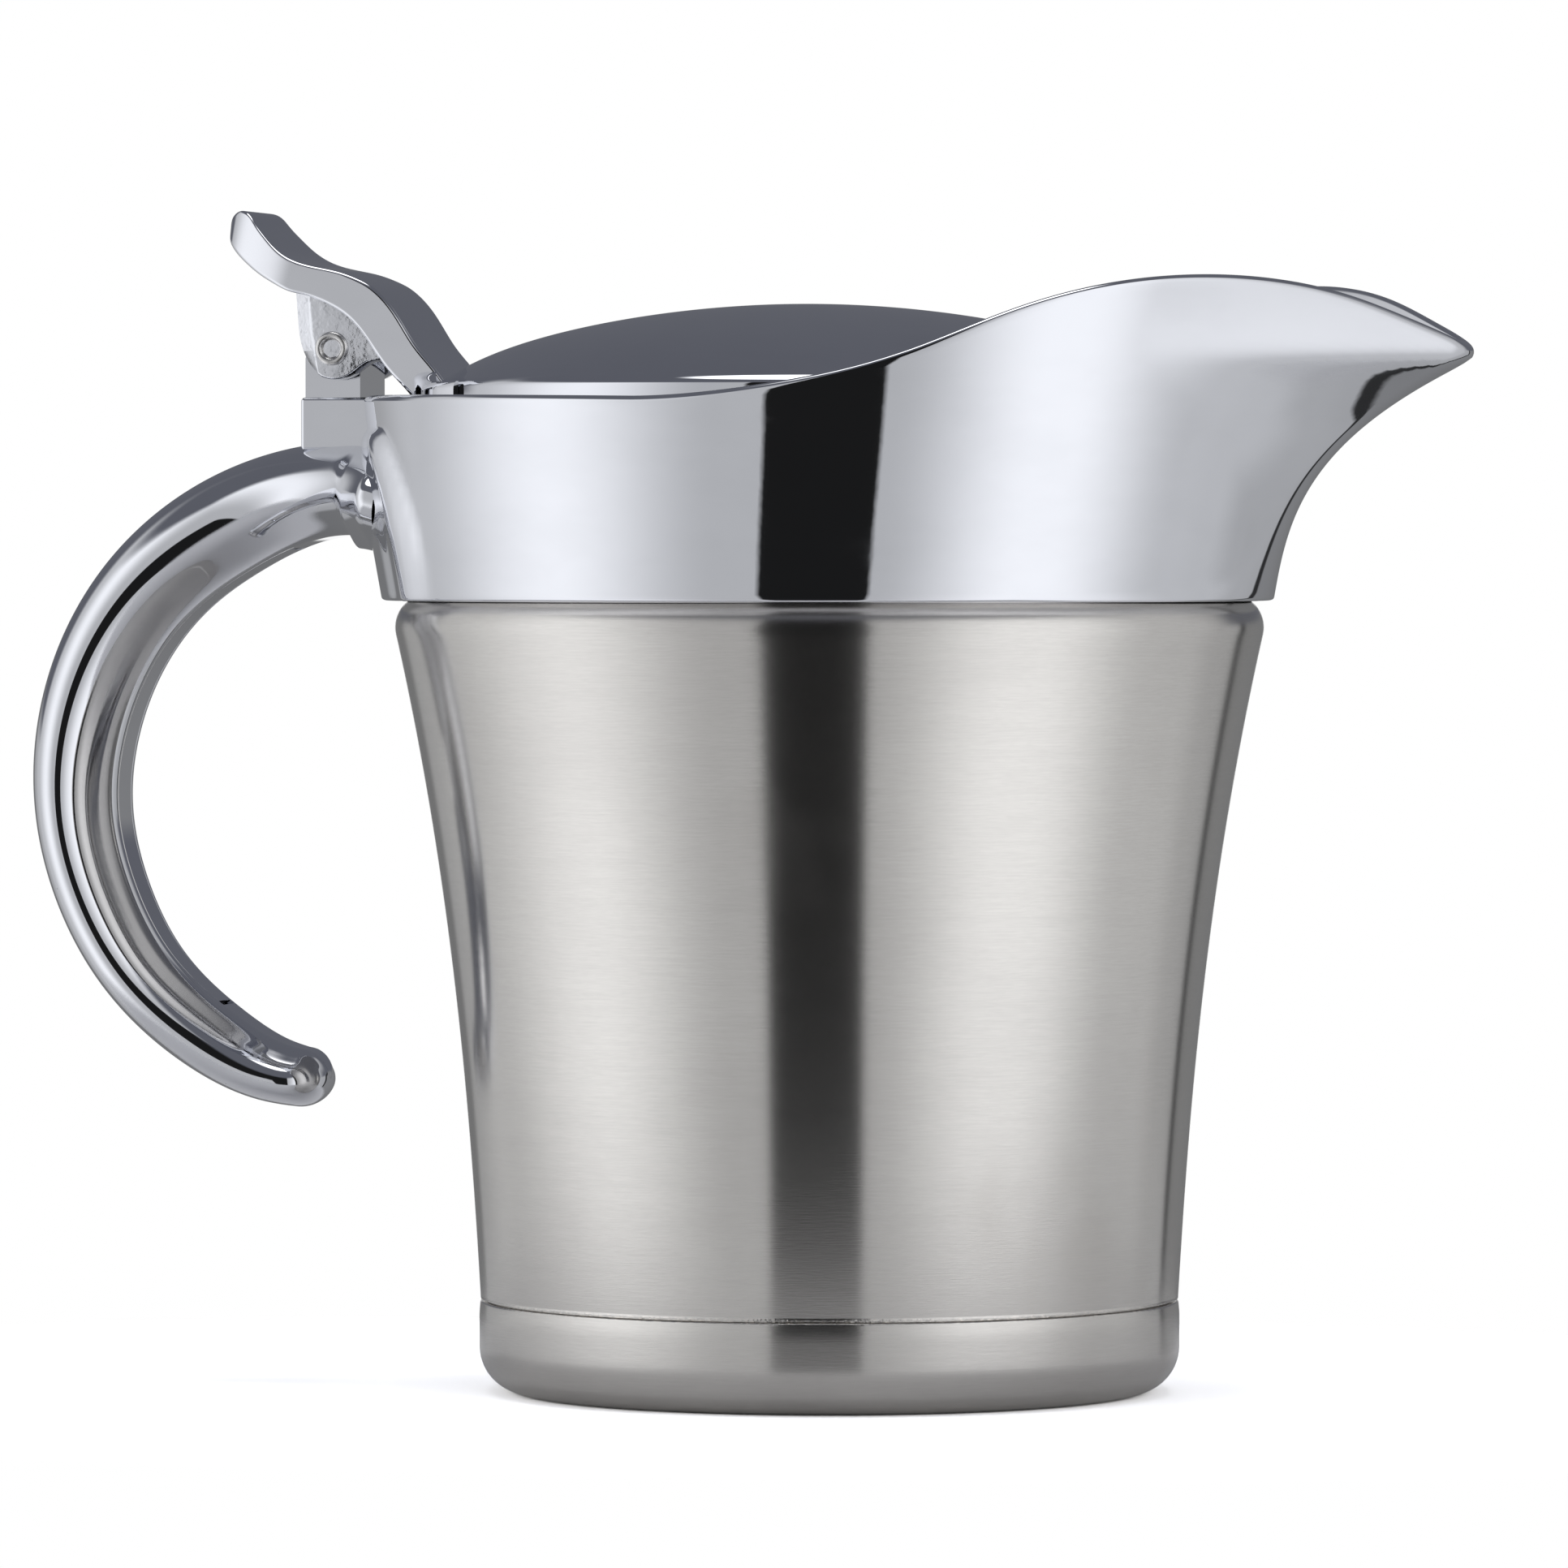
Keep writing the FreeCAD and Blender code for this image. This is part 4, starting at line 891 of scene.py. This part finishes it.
def lever_ring(top, under, half, roundness):
    """A rounded rectangle between two points of the side view, as wide as the bar is there."""
    middle = (top + under) / 2
    up = (top - under) / 2
    high = np.linalg.norm(up)
    up = up / high
    r = min(roundness, high * 0.98, half * 0.98)
    ring = []
    for sy, sz, first in ((1, 1, 0), (-1, 1, 90), (-1, -1, 180), (1, -1, 270)):
        for angle in np.radians(np.linspace(first, first + 90, 6)):
            y = sy * (half - r) + r * math.cos(angle)
            h = sz * (high - r) + r * math.sin(angle)
            ring.append((y, h))
    flat = []
    for y, h in ring:
        spot = middle + up * h
        flat.append((spot[0], y, spot[1]))
    return flat


def lever_bar():
    marks = np.linspace(0, 1, 110) ** 1.15
    top, under = (resample(spline(from_pin(line), 900), marks) for line in (LEVER_TOP, LEVER_UNDER))
    plan_x = [PIN.x - back for back, _ in LEVER_PLAN][::-1]
    plan_y = [half for _, half in LEVER_PLAN][::-1]
    smooth = spline(list(zip(plan_x[:6], plan_y[:6])), 80, (0.3, 1), (1, 0))
    rings = []
    for a, b in zip(top[1:], under[1:]):
        x = (a[0] + b[0]) / 2
        half = LEVER_HALF if x > smooth[-1, 0] else np.interp(x, smooth[:, 0], smooth[:, 1])
        rings.append(lever_ring(a, b, half, LEVER_ROUND))
    return grid_mesh("bar", capped(np.array(rings)))


EAR_OUTLINE = [(4.4, 6.6), (4.15, 3.2), (3.8, 0.6), (2.9, -1.5), (1.6, -2.9), (-0.2, -3.4), (-2.2, -2.8),
               (-3.9, -1.6), (-6.0, -1.3), (-8.0, -1.4), (-5.0, 4.4), (-1.3, 6.8)]


def ear(side):
    """A cheek of the lever. Its back edge is cut away aslant."""
    outline = spline(from_pin(EAR_OUTLINE + EAR_OUTLINE[:1]), 72)[:-1]
    middle = outline.mean(axis=0)
    layers = [(EAR_NEAR, 0.25, 0.0), (EAR_NEAR + 0.25, 0.0, 0.0), (EAR_NEAR + EAR_T - 1.3, 0.0, 0.0),
              (EAR_NEAR + EAR_T - 0.2, 0.05, 1.5), (EAR_NEAR + EAR_T, 0.3, 1.7)]
    rings = []
    for y, inset, cut in layers:
        shift = middle - outline
        line = outline + shift / np.linalg.norm(shift, axis=1)[:, None] * inset
        back = np.clip((PIN.x - 1.6 - outline[:, 0]) / 2.2, 0, 1)
        line[:, 0] += back * cut
        rings.append([(x, side * y, z) for x, z in line])
    return grid_mesh("ear", capped(np.array(rings)))


def lever_foot():
    """The band that wraps the lid's skirt, thin at its ends and swelling where the bar lands on it."""
    inner = LID_R + 0.05
    low = LID_LOW.z + 0.6
    rings = []
    for degrees in np.linspace(-FOOT_ANGLE, FOOT_ANGLE, 90):
        away = abs(degrees)
        thin = FOOT_T * min(1.0, 0.35 + 0.65 * (FOOT_ANGLE - away) / 5.0)
        land = max(0.0, 1 - max(0.0, away - 11.5) / 9.0)
        land = land * land * (3 - 2 * land)
        high = LID_EDGE - 0.1 + 1.3 * land
        thin += 0.8 * land
        ring = np.concatenate([
            [(inner, low), (inner + thin * 0.6, low)],
            corner(np.array((inner + thin * 0.6, low)), np.array((inner + thin, low)),
                   np.array((inner + thin, low + 0.8)), 5)[1:],
            corner(np.array((inner + thin, high - 0.9)), np.array((inner + thin, high)),
                   np.array((inner + thin * 0.3, high)), 6),
            [(inner, high - 0.02)],
        ])
        turn = math.radians(180 + degrees)
        rings.append([(LID_X + r * math.cos(turn), r * math.sin(turn), z) for r, z in ring])
    return grid_mesh("foot", capped(np.array(rings)))


def thumb_lever():
    return joined("thumb_lever", [(0, lever_bar()), (0, lever_foot()), (1, ear(-1)), (1, ear(1))])


# Lid

def lid_dome():
    r = LID_R
    ease = 0.45
    hollow_r = r - LID_WALL

    def crown(radius, edge, top, shares):
        fall = (1 - LID_ROUND) * shares ** 2 + LID_ROUND * shares ** 8
        return np.stack([radius * shares, top - (top - edge) * fall], 1)

    dome = crown(r - ease, LID_EDGE, LID_TOP, np.linspace(1, 0, 60))
    hollow = crown(hollow_r - ease, LID_EDGE - LID_WALL, LID_TOP - LID_WALL, np.linspace(0, 1, 24))
    skirt = LID_EDGE - ease
    profile = np.concatenate([
        [(hollow_r, LID_LOW.z), (r - 0.25, LID_LOW.z), (r, LID_LOW.z + 0.25)],
        straight((r, LID_LOW.z + 0.5), (r, skirt - 0.3), 4),
        corner(np.array((r, skirt - 0.3)), np.array((r, LID_EDGE - 0.1)), dome[1])[1:],
        dome[2:],
        hollow,
        [(hollow_r, skirt - LID_WALL)],
    ])
    return lathe("lid_dome", profile, LID_X)


# Pieces

sections = handle_sections()
piece("body_shell", outer_shell(), [body_steel], "jug", ["outer_shell"])
piece("body_base", base_cup(), [body_steel], "jug", ["base_cup"])
piece("spout_collar", collar(), [plate_chrome], "jug", ["collar"], 50)
piece("grip_shell", handle_shell(sections), [grip_chrome], "jug", ["handle_shell"])
piece("grip_cover", handle_cover(sections), [plate_chrome], "jug", ["handle_cover"])
piece("hinge_block", hinge_post(), [plate_chrome], "jug", ["hinge_post"], 50, True)
piece("hinge_rivet", hinge_pin(), [screw_steel], "lid", ["hinge_pin"])
piece("lid_lever", thumb_lever(), [plate_chrome, ear_chrome], "lid",
      ["thumb_lever"], 50, True)
piece("lid_cap", lid_dome(), [lid_chrome], "lid", ["lid_dome"])

KEPT = {
    "inner_vessel": liner_steel,
    "neck_seal": seal_rubber,
    "clamp_ring": inner_plastic,
    "handle_screws": screw_steel,
    "post_screws": screw_steel,
    "lever_screws": screw_steel,
    "lid_liner": inner_plastic,
    "lid_seal": seal_rubber,
    "lid_foam": lid_foam,
}
for node, finish in KEPT.items():
    mesh = frame["nodes"][node].data
    mesh.materials.clear()
    mesh.materials.append(finish)


# Studio

def towards(degrees, right, facing):
    """A direction in the plan from the camera's right and its own direction, as seen from the jug."""
    turn = math.radians(degrees)
    return right * math.sin(turn) + facing * math.cos(turn)


YAW = math.radians(CAMERA_YAW)
FACING = Vector((math.sin(YAW), -math.cos(YAW), 0))
RIGHT = Vector((math.cos(YAW), math.sin(YAW), 0))

# Brightness round the studio, by degrees from the camera: two soft boxes that are brightest in their
# middles, the dark gap between them with the camera, and grey walls behind.
ROUND = [
    (-180, 0.17), (-158, 0.19), (-153, 0.40), (-127, 0.60), (-76, 1.11), (-30, 0.53), (-18.6, 0.53),
    (-18.3, 0.012), (10.7, 0.012), (11.0, 0.53), (52, 1.125), (59, 1.125), (98, 0.60), (113, 0.57),
    (128, 0.45), (139.5, 0.42), (140, 0.03), (144, 0.03), (144.5, 0.24), (180, 0.17),
]
CEILING = (0.125, 0.130, 0.152)
FLOOR_GLOW = (0.62, 0.60, 0.68)


def studio_world():
    world = bpy.data.worlds.new("studio")
    bpy.context.scene.world = world
    world.use_nodes = True
    s = Shader(world.node_tree)
    way = s.node("ShaderNodeTexCoord", out="Generated")

    def along(direction):
        return s.node("ShaderNodeVectorMath", {"operation": "DOT_PRODUCT"}, {0: way, 1: tuple(direction)}, "Value")

    side, front, up = along(RIGHT), along(FACING), along((0, 0, 1))
    turn = side.math("ARCTAN2", side, front) / (2 * math.pi) + 0.5
    grey = s.ramp(turn, [((degrees + 180) / 360, level) for degrees, level in ROUND], "EASE")
    lit = s.blend(1.0, grey, (0.985, 0.995, 1.02), "MULTIPLY")
    lit = s.blend(up.between(0.50, 0.66), lit, CEILING)
    lit = s.blend(up.between(-0.92, -0.80), FLOOR_GLOW, lit)
    behind = (0 - front).between(0.55, 0.75) * up.between(0.03, 0.10)
    lit = s.blend(behind, lit, CEILING)
    lamp = up.between(0.93, 0.97)
    lit = s.blend(lamp, lit, (2.6, 2.6, 2.6))
    rays = s.tree.nodes.new("ShaderNodeLightPath")
    camera_ray, glossy, through = (Value(s, rays.outputs[name]) for name in
                                   ("Is Camera Ray", "Is Glossy Ray", "Is Transmission Ray"))
    backdrop = (0 - front).between(0.990, 0.994) * (1 - up.between(0.02, 0.05)) * up.between(-0.20, -0.15)
    seen = camera_ray.most(through).most(glossy * backdrop)
    shade = s.node("ShaderNodeBackground", None, {"Color": s.blend(seen, lit, (1.0, 1.0, 1.0)), "Strength": 1.0})
    made = s.tree.nodes.new("ShaderNodeOutputWorld")
    s.tree.links.new(shade.socket, made.inputs["Surface"])


FLOOR_GAIN = 3.2                # brings the floor to the white of the backdrop where no shadow falls
FLOOR_REACH = (0.17, 0.12)      # half sizes of the floor, across and towards the camera


def studio_floor():
    """A pale floor that keeps the jug's shadow and fades into the backdrop at its edge."""
    bm = bmesh.new()
    bmesh.ops.create_circle(bm, cap_ends=True, segments=96, radius=1.0)
    bmesh.ops.scale(bm, vec=(FLOOR_REACH[0], FLOOR_REACH[1], 1), verts=bm.verts)
    mesh = bpy.data.meshes.new("floor")
    bm.to_mesh(mesh)
    bm.free()
    made, s = material("pale_floor")
    spot = s.place((1 / FLOOR_REACH[0], 1 / FLOOR_REACH[1], 0))
    far = s.node("ShaderNodeVectorMath", {"operation": "LENGTH"}, {0: spot}, "Value")
    grain = s.noise(s.place(), 300.0, 2.0)
    colour = s.blend(grain, (0.90, 0.90, 0.91), (0.92, 0.92, 0.93))
    rays = s.tree.nodes.new("ShaderNodeLightPath")
    seen = Value(s, rays.outputs["Is Camera Ray"]).most(Value(s, rays.outputs["Is Transmission Ray"]))
    colour = s.blend(seen, colour, (FLOOR_GAIN, FLOOR_GAIN, FLOOR_GAIN))
    pale = s.node("ShaderNodeBsdfDiffuse", None, {"Color": colour})
    clear = s.node("ShaderNodeBsdfTransparent")
    s.output(s.node("ShaderNodeMixShader", None, {0: far.between(0.70, 0.95), 1: pale, 2: clear}))
    mesh.materials.append(made)
    floor = bpy.data.objects.new("floor", mesh)
    bpy.context.collection.objects.link(floor)


def studio_camera():
    lens = bpy.data.cameras.new("camera")
    lens.sensor_width = SENSOR
    width = PHOTO_SIDE * PHOTO_SCALE
    off_x = (PHOTO_SIDE / 2 - AXIS_PIXEL[0]) * PHOTO_SCALE
    off_z = (AXIS_PIXEL[1] - PHOTO_SIDE / 2) * PHOTO_SCALE
    lens.lens = SENSOR * CAMERA_REACH / width
    lens.clip_start = 0.01
    camera = bpy.data.objects.new("camera", lens)
    bpy.context.collection.objects.link(camera)
    eye = FACING * CAMERA_REACH + Vector((0, 0, CAMERA_Z))
    aim = RIGHT * off_x + Vector((0, 0, CAMERA_Z + off_z))
    camera.location = eye * MM
    camera.rotation_euler = (aim - eye).to_track_quat("-Z", "Y").to_euler()
    bpy.context.scene.camera = camera


studio_world()
studio_floor()
studio_camera()
bpy.context.scene.view_settings.view_transform = "Standard"
